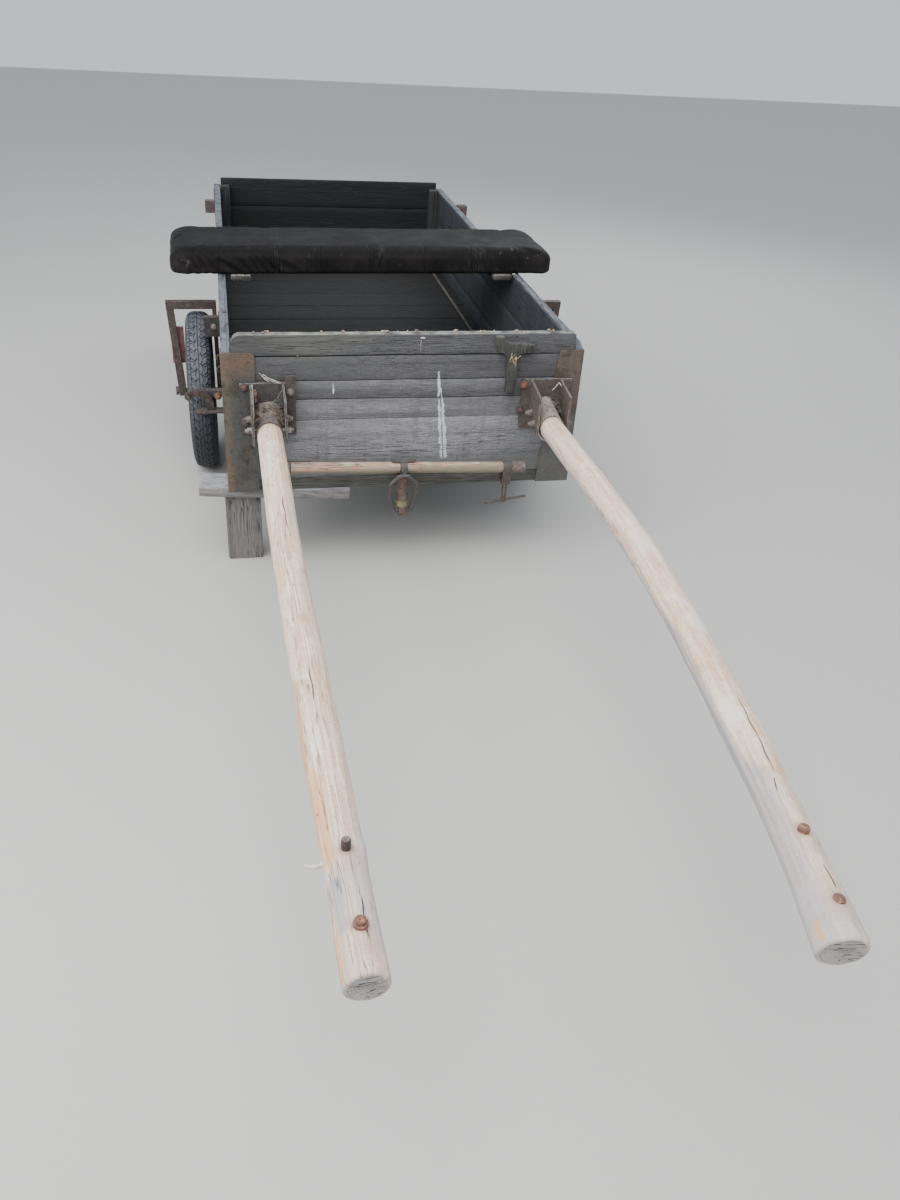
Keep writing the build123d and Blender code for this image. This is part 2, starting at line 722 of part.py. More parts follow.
# A thin plate fixed flat behind the outer leg of the left fork
side_plate_inner_gap = 141.0
side_plate_outer_gap = 190.0
side_plate_low = 108.0
side_plate_high = 251.0
side_plate_y = axle_y + fork_tube / 2 + seat_gap
with BuildPart() as side_plate:
    block(-half_width - side_plate_outer_gap, -half_width - side_plate_inner_gap,
          side_plate_y, side_plate_y + plate, axle_z + side_plate_low, axle_z + side_plate_high)
save(side_plate, "wheel_side_plate_left")

# Stay before the top of each wheel: an angle from the side wall
stay_forward = 160.0
stay_plate = 6.0
stay_top = fork_top - 8
stay_reach = 58.0
stay_half = 14.0
for side, sign in sides:
    stay_y = axle_y - stay_forward
    wall_x = half_width + seat_gap
    with BuildPart() as stay:
        block(sign * wall_x, sign * (wall_x + stay_plate), stay_y - 30, stay_y + 30,
              stay_top - 90, stay_top + 10)
        block(sign * wall_x, sign * (wall_x + stay_reach), stay_y - stay_half,
              stay_y + stay_half, stay_top - 18, stay_top)
        block(sign * wall_x, sign * (wall_x + stay_reach), stay_y - stay_half,
              stay_y - stay_half + stay_plate, stay_top - 72, stay_top - 18)
    save(stay, f"wheel_stay_{side}")

# Brake before each tyre: a box bracket and a shelf on the side wall, and an arched arm
brake_back = 512.0
brake_plate = 6.0
brake_height = 66.0
arm_points = ((130.0, 53.0), (92.0, 66.0), (54.0, 20.0))
arm_height = 26.0
arm_depth = 12.0
arm_back = 28.0
foot_height = 18.0
eye_pin_radius = 9.0
shelf_reach = 110.0
box_reach = 65.0
box_low = 48.0
box_high = 71.0
shelf_top = ground_clearance + brake_height
for side, sign in sides:
    wall_x = half_width + seat_gap
    brake_y = front_y + brake_back
    arm_y = brake_y + arm_back
    with BuildPart() as brake_bracket:
        block(sign * wall_x, sign * (wall_x + brake_plate), brake_y - 10, brake_y + 60,
              shelf_top - 12, shelf_top + 103)
        block(sign * wall_x, sign * (wall_x + box_reach), arm_y + seat_gap, brake_y + 54,
              shelf_top + box_low, shelf_top + box_high)
        block(sign * wall_x, sign * (wall_x + shelf_reach), brake_y, brake_y + 46,
              shelf_top - brake_plate, shelf_top)
    save(brake_bracket, f"brake_bracket_{side}")
    bow_points = [(sign * (half_width + across), shelf_top + level) for across, level in arm_points]
    knob_x, knob_z = bow_points[0]
    foot_x = bow_points[-1][0]
    with BuildPart() as brake_arm:
        with BuildSketch(Plane.XZ.offset(-arm_y)):
            with BuildLine(mode=Mode.PRIVATE):
                bow = ThreePointArc(*bow_points)
            SlotArc(bow, arm_height)
            with Locations((foot_x, shelf_top + seat_gap + foot_height / 2)):
                Rectangle(arm_height, foot_height)
        extrude(amount=arm_depth)
        with Locations(Location((knob_x, arm_y - arm_depth, knob_z), (90, 0, 0))):
            Cylinder(eye_pin_radius, arm_back + seat_gap)
    save(brake_arm, f"brake_arm_{side}")

# Wheels: wire-spoked rim and hub in one solid, and a tyre on it
wheel_place = Location((-wheel_x, axle_y, axle_z), (0, 90, 0))
rim_profile = (
    (-rim_width / 2, rim_radius + 10), (-rim_width / 2, rim_radius - rim_wall),
    (-13, rim_radius - 16), (13, rim_radius - 16), (rim_width / 2, rim_radius - rim_wall),
    (rim_width / 2, rim_radius + 10), (rim_width / 2 - rim_wall, rim_radius + 10),
    (rim_width / 2 - rim_wall, rim_radius), (12, rim_radius - 13), (-12, rim_radius - 13),
    (rim_wall - rim_width / 2, rim_radius), (rim_wall - rim_width / 2, rim_radius + 10),
)
flange_x = hub_width / 2 - 8
spoke_hole_radius = flange_radius - 5
nipple_radius = rim_radius - 14
nipple_x = 7.0
spoke_lean = 42.0
with BuildPart() as left_wheel:
    with BuildSketch(Plane.XZ) as rim_section:
        Polygon(*[(radius, across) for across, radius in rim_profile], align=None)
    revolve(axis=Axis.Z)
    Cylinder(hub_radius, hub_width)
    for end in (-1, 1):
        with Locations((0, 0, end * flange_x)):
            Cylinder(flange_radius, flange_thickness)
        for number in range(spokes_per_side):
            rim_angle = radians((number + (end + 1) / 4) * 360 / spokes_per_side)
            lean = radians(spoke_lean if number % 2 else -spoke_lean)
            foot = Vector(spoke_hole_radius * cos(rim_angle + lean),
                          spoke_hole_radius * sin(rim_angle + lean), end * flange_x)
            nipple = Vector(nipple_radius * cos(rim_angle), nipple_radius * sin(rim_angle),
                            end * nipple_x)
            with BuildSketch(Plane(origin=foot, z_dir=nipple - foot)):
                RegularPolygon(radius=spoke_radius, side_count=6)
            extrude(amount=(nipple - foot).length)
    Cylinder(spindle_radius + running_gap, 2 * hub_width, mode=Mode.SUBTRACT)

bead_lean = 5.8
bead_x = rim_width / 2 - rim_wall - seat_gap - bead_lean
side_x = tyre_width / 2
tyre_half = (
    (bead_x, rim_radius + seat_gap), (side_x, rim_radius + 45), (side_x - 20, wheel_radius),
)
with BuildPart() as left_tyre:
    with BuildSketch(Plane.XZ) as tyre_section:
        outline = [(radius, across) for across, radius in tyre_half]
        outline += [(radius, -across) for across, radius in reversed(tyre_half)]
        Polygon(*outline, align=None)
    revolve(axis=Axis.Z)

for side, sign in sides:
    place = Location((sign * wheel_x, axle_y, axle_z), (0, 90, 0))
    for source, name in ((left_wheel, "wheel_rim"), (left_tyre, "tyre")):
        with BuildPart() as placed:
            add(source.part.moved(place))
        save(placed, f"{name}_{side}")

# Prop under the left front corner: a plank, turned a little, on an upright post
plank_corner_x = -half_width - 101
plank_corner_back = 40.0
post_x = -half_width - 19
post_back = 62.0
plank_place = Location((plank_corner_x, front_y + plank_corner_back, ground_clearance),
                       (0, 0, prop_plank_yaw))
with BuildPart() as prop_plank:
    with Locations(plank_place * Location((prop_plank_length / 2, prop_plank_width / 2,
                                           -prop_plank_thickness / 2))):
        Box(prop_plank_length, prop_plank_width, prop_plank_thickness)
save(prop_plank, "prop_plank")

with BuildPart() as prop_post:
    block(post_x, post_x + prop_post_width, front_y + post_back,
          front_y + post_back + prop_post_depth,
          0, ground_clearance - prop_plank_thickness - seat_gap)
save(prop_post, "prop_post")
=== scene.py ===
from functools import partial
from math import atan2, cos, exp, pi, radians, sin, sqrt
from random import Random

import bmesh
import bpy
from mathutils import Matrix, Vector, noise


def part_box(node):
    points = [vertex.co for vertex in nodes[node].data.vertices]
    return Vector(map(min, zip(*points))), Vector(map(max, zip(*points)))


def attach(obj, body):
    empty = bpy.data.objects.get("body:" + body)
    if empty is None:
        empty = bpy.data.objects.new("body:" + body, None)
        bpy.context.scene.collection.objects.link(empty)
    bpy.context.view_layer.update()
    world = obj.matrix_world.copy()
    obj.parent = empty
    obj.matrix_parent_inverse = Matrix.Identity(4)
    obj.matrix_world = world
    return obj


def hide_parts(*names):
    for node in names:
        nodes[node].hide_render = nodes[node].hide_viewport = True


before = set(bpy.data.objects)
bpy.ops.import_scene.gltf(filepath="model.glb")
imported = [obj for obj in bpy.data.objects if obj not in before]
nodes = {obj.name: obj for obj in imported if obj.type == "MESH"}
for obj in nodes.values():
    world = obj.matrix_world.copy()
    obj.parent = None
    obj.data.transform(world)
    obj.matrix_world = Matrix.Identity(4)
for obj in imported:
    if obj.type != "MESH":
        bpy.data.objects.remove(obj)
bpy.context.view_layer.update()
scene = bpy.context.scene

# Camera at the place the photograph was taken from, above and left of the shafts
cameraPlace = {
    "x": -0.54948,
    "y": -3.16007,
    "z": 1.82788,
    "yaw": -0.242132,
    "pitch": 0.577194,
    "roll": -0.0731245,
    "lens": 30.0,
}


def makeCamera(place):
    yaw, pitch, roll = place["yaw"], place["pitch"], place["roll"]
    forward = Vector((-sin(yaw) * cos(pitch), cos(yaw) * cos(pitch), -sin(pitch)))
    level = Vector((cos(yaw), sin(yaw), 0))
    below = forward.cross(level)
    right = level * cos(roll) + below * sin(roll)
    down = below * cos(roll) - level * sin(roll)
    data = bpy.data.cameras.new("photoCamera")
    data.lens = place["lens"]
    data.sensor_width = 36.0
    data.clip_end = 60
    camera = bpy.data.objects.new("photoCamera", data)
    turn = Matrix((right, -down, -forward)).transposed().to_4x4()
    camera.matrix_world = Matrix.Translation((place["x"], place["y"], place["z"])) @ turn
    scene.collection.objects.link(camera)
    scene.camera = camera


makeCamera(cameraPlace)
print("camera placed")


# The node helpers work on the tree that was started last
bench = {}


def join(value, socket):
    if isinstance(value, bpy.types.NodeSocket):
        bench["tree"].links.new(value, socket)
    else:
        socket.default_value = value


def put(kind, inputs=None, **settings):
    node = bench["tree"].nodes.new("ShaderNode" + kind)
    for name, value in settings.items():
        setattr(node, name, value)
    for name, value in (inputs or {}).items():
        join(value, node.inputs[name])
    return node


def maths(operation, a, b=0.0, clamp=False):
    return put("Math", {0: a, 1: b}, operation=operation, use_clamp=clamp).outputs[0]


times, plus, minus, ratio, larger, absolute = [partial(maths, operation)
    for operation in ("MULTIPLY", "ADD", "SUBTRACT", "DIVIDE", "MAXIMUM", "ABSOLUTE")]


def vectorMaths(operation, a, b):
    return put("VectorMath", {0: a, 1: b}, operation=operation).outputs[0]


def spread(value, low, high, toLow=0.0, toHigh=1.0):
    # a soft step between two values
    return put("MapRange", {"Value": value, "From Min": low, "From Max": high, "To Min": toLow,
        "To Max": toHigh}, interpolation_type="SMOOTHSTEP").outputs["Result"]


def blend(mask, a, b, way="MIX"):
    # a socket, or red, green and blue
    tones = [tone if isinstance(tone, bpy.types.NodeSocket) else (*tone, 1.0) for tone in (a, b)]
    return put("Mix", {0: mask, 6: tones[0], 7: tones[1]}, data_type="RGBA",
        blend_type=way).outputs[2]


def toned(tone, share):
    return [share * part for part in tone]


def speckle(where, scale, detail, roughness=0.5):
    return put("TexNoise", {"Vector": where, "Scale": scale, "Detail": detail,
        "Roughness": roughness}).outputs["Fac"]


def stretched(where, scale):
    return put("Mapping", {"Vector": where, "Scale": scale}).outputs[0]


def axis(vector, which):
    return put("SeparateXYZ", {0: vector}).outputs[which]


def layer(name, outlet="Fac"):
    return put("Attribute", attribute_name=name).outputs[outlet]


def startGroup(name, inputs, outputs):
    # every group takes a place, and some numbers
    tree = bench["tree"] = bpy.data.node_groups.new(name, "ShaderNodeTree")
    tree.interface.new_socket(name="Vector", in_out="INPUT", socket_type="NodeSocketVector")
    for label, value in inputs.items():
        tree.interface.new_socket(name=label, in_out="INPUT",
            socket_type="NodeSocketFloat").default_value = value
    for label in outputs:
        tree.interface.new_socket(name=label, in_out="OUTPUT", socket_type="NodeSocketFloat")
    return tree.nodes.new("NodeGroupInput").outputs, tree.nodes.new("NodeGroupOutput").inputs


def finishGroup(outlets, **values):
    for label, value in values.items():
        join(value, outlets[label])
    return bench["tree"]


def makeWoodGrain():
    # streaks, growth lines and drying cracks that run along the vector's X
    given, outlets = startGroup("woodGrain", {"Scale": 60.0, "Stretch": 16.0, "Crack": 0.03},
        ["Fine", "Lines", "Cracks", "Broad"])
    shrink = put("CombineXYZ", {"X": ratio(1.0, given["Stretch"]), "Y": 1.0, "Z": 1.0}).outputs[0]
    bend = put("TexNoise", {"Vector": given["Vector"], "Scale": 3.0, "Detail": 2.0})
    bent = vectorMaths("MULTIPLY", bend.outputs["Color"], (0.012, 0.02, 0.02))
    moved = vectorMaths("ADD", given["Vector"], bent)
    drawn = vectorMaths("MULTIPLY", moved, shrink)
    grown = put("VectorMath", {0: drawn, "Scale": given["Scale"]}, operation="SCALE").outputs[0]
    fine = speckle(grown, 3.0, 6.0, 0.72)
    coarse = speckle(grown, 0.42, 3.0)
    rings = maths("PINGPONG", times(coarse, 11.0), 0.5)
    veins = speckle(grown, 0.62, 1.5)
    patchy = speckle(drawn, 11.0, 2.0)
    width = times(given["Crack"], spread(patchy, 0.47, 0.66))
    away = absolute(minus(veins, 0.5))
    slit = minus(1.0, ratio(away, plus(width, 0.0002)), True)
    broad = speckle(drawn, 16.0, 5.0, 0.65)
    return finishGroup(outlets, Fine=fine, Lines=times(rings, 2.0), Cracks=slit, Broad=broad)


def makeKnots():
    given, outlets = startGroup("knots", {"Scale": 6.0, "Size": 0.1, "Share": 0.3},
        ["Mask", "Halo"])
    drawn = vectorMaths("MULTIPLY", given["Vector"], (0.55, 1.0, 1.0))
    cells = put("TexVoronoi", {"Vector": drawn, "Scale": given["Scale"]})
    split = put("SeparateColor", {"Color": cells.outputs["Color"]}).outputs[0]
    chosen = maths("LESS_THAN", split, given["Share"])
    inner = minus(1.0, ratio(cells.outputs["Distance"], given["Size"]), True)
    outer = minus(1.0, ratio(cells.outputs["Distance"], times(given["Size"], 2.6)), True)
    return finishGroup(outlets, Mask=times(spread(inner, 0.0, 0.45), chosen),
        Halo=times(outer, chosen))


def makeRustPatches():
    given, outlets = startGroup("rustPatches", {"Scale": 20.0, "Amount": 0.5},
        ["Mask", "Tone", "Pits"])
    patch = speckle(given["Vector"], given["Scale"], 7.0, 0.65)
    edge = minus(0.72, times(given["Amount"], 0.44))
    tone = speckle(given["Vector"], times(given["Scale"], 3.1), 6.0, 0.7)
    pits = speckle(given["Vector"], times(given["Scale"], 14.0), 4.0, 0.8)
    return finishGroup(outlets, Mask=spread(patch, minus(edge, 0.05), plus(edge, 0.07)), Tone=tone,
        Pits=pits)


def makeEdgeWear():
    given, outlets = startGroup("edgeWear", {"Radius": 0.003, "Scale": 60.0}, ["Mask"])
    rounded = put("Bevel", {"Radius": given["Radius"]}, samples=4)
    flat = put("NewGeometry").outputs["Normal"]
    facing = put("VectorMath", {0: rounded.outputs[0], 1: flat},
        operation="DOT_PRODUCT").outputs["Value"]
    ragged = speckle(given["Vector"], given["Scale"], 4.0)
    edge = spread(facing, 0.99, 0.86)
    return finishGroup(outlets, Mask=times(edge, spread(ragged, 0.34, 0.56), True))


def makeSettledDust():
    # pale dirt on faces that look up
    given, outlets = startGroup("settledDust", {"Amount": 0.5}, ["Mask"])
    normal = put("NewGeometry").outputs["Normal"]
    up = axis(normal, "Z")
    patch = speckle(given["Vector"], 26.0, 5.0)
    lying = times(spread(up, 0.45, 0.95), spread(patch, 0.3, 0.62))
    return finishGroup(outlets, Mask=times(lying, given["Amount"]))


def makeRunStreaks():
    # stains that run down with the rain
    given, outlets = startGroup("runStreaks", {"Scale": 20.0, "Amount": 0.5}, ["Mask"])
    drawn = vectorMaths("MULTIPLY", given["Vector"], (1.0, 1.0, 0.09))
    lines = speckle(drawn, given["Scale"], 5.0, 0.6)
    edge = minus(0.7, times(given["Amount"], 0.4))
    return finishGroup(outlets, Mask=spread(lines, edge, plus(edge, 0.14)))


groups = {
    "grain": makeWoodGrain(),
    "knots": makeKnots(),
    "rust": makeRustPatches(),
    "wear": makeEdgeWear(),
    "dust": makeSettledDust(),
    "streaks": makeRunStreaks(),
}
print("effect groups made:", len(groups))


def use(name, where, **inputs):
    node = bench["tree"].nodes.new("ShaderNodeGroup")
    node.node_tree = groups[name]
    for label, value in {"Vector": where, **inputs}.items():
        join(value, node.inputs[label])
    return node.outputs


def startMaterial(name, roughness, metallic=0.0):
    material = bpy.data.materials.new(name)
    material.use_nodes = True
    bench["tree"] = material.node_tree
    material.node_tree.nodes.clear()
    shader = put("BsdfPrincipled", {"Roughness": roughness, "Metallic": metallic})
    put("OutputMaterial", {"Surface": shader.outputs[0]}).location.x = 300
    return material, shader


def dent(shader, height, distance, radius=0.0):
    inputs = {"Height": height, "Distance": distance, "Strength": 1.0}
    if radius:
        inputs["Normal"] = put("Bevel", {"Radius": radius}, samples=4).outputs[0]
    join(put("Bump", inputs).outputs[0], shader.inputs["Normal"])


def objectSpace(turn=None):
    where = put("TexCoord").outputs["Object"]
    return put("Mapping", {"Vector": where, "Rotation": turn}).outputs[0] if turn else where


# Each wood: dark and light grain, tint is the large soft patches, top is what faces up
woodKeys = ("dark", "light", "tint", "top", "topShare", "scale", "stretch", "crack", "knot",
    "bump")
woods = {name: dict(zip(woodKeys, row)) for name, row in {
    "frontWood": ((0.06, 0.059, 0.065), (0.232, 0.229, 0.25), (0.11, 0.112, 0.108),
        (0.34, 0.34, 0.3), 0.95, 260.0, 40.0, 0.02, 0.2, 0.0008),
    "wallWood": ((0.035, 0.039, 0.048), (0.14, 0.15, 0.172), (0.07, 0.08, 0.095),
        (0.15, 0.163, 0.187), 0.8, 105.0, 24.0, 0.035, 0.15, 0.001),
    # floorWood: colours darkened to near black as painted shade inside the box
    "floorWood": ((0.003, 0.0029, 0.0029), (0.0125, 0.0118, 0.0115), (0.0065, 0.006, 0.0057),
        (0.016, 0.015, 0.0137), 0.3, 90.0, 20.0, 0.03, 0.1, 0.0012),
    "postWood": ((0.01, 0.0105, 0.011), (0.045, 0.047, 0.049), (0.02, 0.021, 0.021),
        (0.06, 0.062, 0.064), 0.5, 90.0, 20.0, 0.04, 0.1, 0.0012),
    "lathWood": ((0.035, 0.031, 0.027), (0.14, 0.125, 0.11), (0.07, 0.062, 0.053),
        (0.15, 0.14, 0.122), 0.4, 100.0, 20.0, 0.04, 0.1, 0.001),
    "frameWood": ((0.04, 0.04, 0.034), (0.15, 0.148, 0.128), (0.07, 0.075, 0.055),
        (0.12, 0.115, 0.1), 0.4, 90.0, 20.0, 0.04, 0.15, 0.0012),
    "propWood": ((0.1, 0.094, 0.088), (0.28, 0.266, 0.256), (0.17, 0.158, 0.142),
        (0.35, 0.355, 0.4), 0.85, 130.0, 18.0, 0.03, 0.1, 0.0011),
    "treeWood": ((0.15, 0.09, 0.06), (0.66, 0.5, 0.4), (0.4, 0.31, 0.23), (0.74, 0.6, 0.5), 0.5,
        150.0, 26.0, 0.035, 0.1, 0.0007),
    "cleatWood": ((0.022, 0.0212, 0.02), (0.095, 0.092, 0.087), (0.06, 0.056, 0.043),
        (0.15, 0.145, 0.13), 0.5, 190.0, 14.0, 0.04, 0.0, 0.0012),
    "battenWood": ((0.12, 0.11, 0.095), (0.36, 0.34, 0.3), (0.2, 0.19, 0.16), (0.4, 0.385, 0.35),
        0.4, 100.0, 20.0, 0.04, 0.1, 0.001),
}.items()}
woods["frontWood"].update(lines=0.16, speck=0.4, topFrom=0.785)
woods["treeWood"].update(lines=0.7)


def weatheredWood(name, look, space=None, turn=None, overlay=None):
    material, shader = startMaterial(name, 0.82)
    where = layer(space, "Vector") if space else objectSpace(turn)
    place = objectSpace()
    grain = use("grain", where, Scale=look["scale"], Stretch=look["stretch"], Crack=look["crack"])
    knots = use("knots", where, Scale=5.0, Size=0.11, Share=look["knot"])
    colour = blend(spread(grain["Fine"], 0.34, 0.62), look["dark"], look["light"])
    colour = blend(times(grain["Lines"], look.get("lines", 0.3)), colour, toned(look["dark"], 0.8))
    if "speck" in look:
        specks = speckle(place, 300.0, 4.0, 0.75)
        colour = blend(spread(specks, 0.5, 0.64, 0.0, look["speck"]), colour,
            toned(look["dark"], 0.7))
        colour = blend(spread(specks, 0.47, 0.36, 0.0, look["speck"]), colour,
            toned(look["light"], 1.35))
    cloud = speckle(place, 4.2, 3.0)
    colour = blend(spread(cloud, 0.42, 0.7, 0.0, 0.5), colour, look["tint"])
    colour = blend(spread(grain["Broad"], 0.36, 0.56, 0.5, 0.0), colour, toned(look["dark"], 0.7))
    if space:
        tone = layer("boardTone")
        shade = put("CombineColor", {0: tone, 1: tone, 2: tone}).outputs[0]
        colour = blend(1.0, colour, shade, "MULTIPLY")
    colour = blend(times(knots["Halo"], 0.5), colour, toned(look["dark"], 0.8))
    colour = blend(knots["Mask"], colour, toned(look["dark"], 0.35))
    cover = use("dust", place, Amount=look["topShare"])["Mask"]
    worn = times(use("wear", place, Radius=0.004, Scale=70.0)["Mask"], 0.35)
    if "topFrom" in look:
        upper = spread(axis(place, 2), look["topFrom"], look["topFrom"] + 0.01)
        cover = times(cover, upper)
        worn = times(worn, upper)
    colour = blend(cover, colour, look["top"])
    colour = blend(worn, colour, look["top"])
    if overlay:
        colour = overlay(colour, place)
    colour = blend(times(grain["Cracks"], 0.85), colour, toned(look["dark"], 0.22))
    join(colour, shader.inputs["Base Color"])
    join(spread(grain["Fine"], 0.2, 0.8, 0.92, 0.68), shader.inputs["Roughness"])
    height = minus(plus(grain["Fine"], times(grain["Lines"], 0.8 * look.get("lines", 0.3))),
        times(grain["Cracks"], 1.6))
    dent(shader, height, look["bump"])
    return material


# Where a stain, wear or painted shade begins and where it is full, in metres
stainAndShadeEdges = {
    "frontFace": (-0.149, -0.153),
    "frontRight": (0.16, 0.42),
    "frontLeft": (-0.34, -0.47),
    "frontFoot": (0.45, 0.38),
    "innerWall": (0.552, 0.549),
    "wallTop": (0.778, 0.765),
    "tailInside": (2.222, 2.212),
    "poleEnd": (-1.8, -2.05),
    "cheekFront": (-0.171, -0.175),
    "bracketTop": (0.658, 0.663),
    "plateTop": (0.72, 0.8),
    "plateLeft": (-0.545, -0.568),
    "plateCorner": (-0.555, -0.572),
    "plateFoot": (0.47, 0.38),
    "rightPlateFoot": (0.585, 0.54),
    "toggleRing": (0.372, 0.384),
    "treeUnder": (0.419, 0.4),
    "eyeCollar": (0.014, 0.006),
    "stayTop": (0.645, 0.65),
    "tyreLowerShade": (0.36, 0.2),
    "seatRight": (0.2, 0.6),
    "seatLeft": (-0.58, -0.72),
    "pleat": (0.034, 0.008),
}
eyeCollarLevel = 0.27

# White drips on the front boards: across and level at the top, at the foot, half width
drips = [(0.1, 0.695, 0.106, 0.6, 0.0072), (0.106, 0.602, 0.125, 0.385, 0.0066),
    (0.118, 0.59, 0.14, 0.385, 0.0076), (0.11, 0.64, 0.124, 0.56, 0.0035),
    (-0.237, 0.661, -0.234, 0.621, 0.005), (0.063, 0.606, 0.063, 0.59, 0.004)]
greenPatch = {"x": -0.3, "z": 0.8, "reach": 0.32}


def frontStainsAndShade(colour, place):
    across, depth, level = put("SeparateXYZ", {0: place}).outputs
    outside = spread(depth, *stainAndShadeEdges["frontFace"])
    ragged = speckle(place, 190.0, 5.0, 0.75)
    # painted shade: the boards darkened towards both sides
    sides = larger(spread(across, *stainAndShadeEdges["frontRight"]),
        spread(across, *stainAndShadeEdges["frontLeft"]))
    colour = blend(times(sides, 0.32), colour, (0.055, 0.055, 0.055))
    # painted shadow of the whippletree across the foot of the boards
    foot = spread(plus(level, times(ragged, 0.03)), *stainAndShadeEdges["frontFoot"])
    colour = blend(times(foot, 0.6), colour, (0.075, 0.08, 0.07))
    wander = speckle(place, 42.0, 2.0)
    wander = times(minus(wander, 0.5), 0.012)
    broken = speckle(stretched(place, (1.0, 1.0, 0.35)), 160.0, 5.0, 0.7)
    for xTop, zTop, xFoot, zFoot, half in drips:
        slope = (xFoot - xTop) / (zFoot - zTop)
        middle = plus(times(level, slope), xTop - zTop * slope)
        away = absolute(plus(wander, minus(across, middle)))
        width = spread(level, zTop, zTop - 0.035, half * 0.45, half)
        body = minus(1.0, ratio(away, width), True)
        ends = times(spread(level, zTop + 0.003, zTop - 0.006),
            spread(level, zFoot - 0.003, zFoot + 0.02))
        solid = plus(times(body, ends), times(minus(broken, 0.5), 1.9))
        mask = times(spread(solid, 0.28, 0.46), spread(times(body, ends), 0.02, 0.14))
        colour = blend(times(mask, times(outside, 0.78)), colour, (0.62, 0.66, 0.71))
    side = absolute(minus(across, greenPatch["x"]))
    tall = absolute(minus(level, greenPatch["z"]))
    near = spread(plus(side, times(tall, 3.0)), greenPatch["reach"], 0.05)
    colour = blend(times(near, 0.3), colour, (0.16, 0.165, 0.12))
    runs = use("streaks", place, Scale=34.0, Amount=0.42)
    return blend(times(runs["Mask"], 0.3), colour, (0.07, 0.07, 0.066))


def innerWallShadeAndStreaks(colour, place):
    # the inside is painted darker than the outside as shade, and stained in upright lines
    across, _, level = put("SeparateXYZ", {0: place}).outputs
    inside = times(spread(absolute(across), *stainAndShadeEdges["innerWall"]),
        spread(level, *stainAndShadeEdges["wallTop"]))
    colour = blend(times(inside, 0.82), colour, (0.014, 0.017, 0.022))
    runs = use("streaks", place, Scale=30.0, Amount=0.5)
    return blend(times(runs["Mask"], 0.3), colour, (0.065, 0.072, 0.084))


# Poles: peeled, sun-bleached wood with pink fibres and tan patches, and a grey painted shade on
# the underside and blue-grey painted shade on a flank
poleLook = {
    "cream": (0.97, 0.79, 0.62),
    "pink": (0.77, 0.49, 0.35),
    "tan": (0.6, 0.38, 0.2),
    "grey": (0.4, 0.4, 0.42),
    "dark": (0.3, 0.23, 0.19),
    "end": (0.24, 0.215, 0.2),
    "endLight": (0.52, 0.48, 0.45),
    "bare": (0.72, 0.4, 0.2),
}


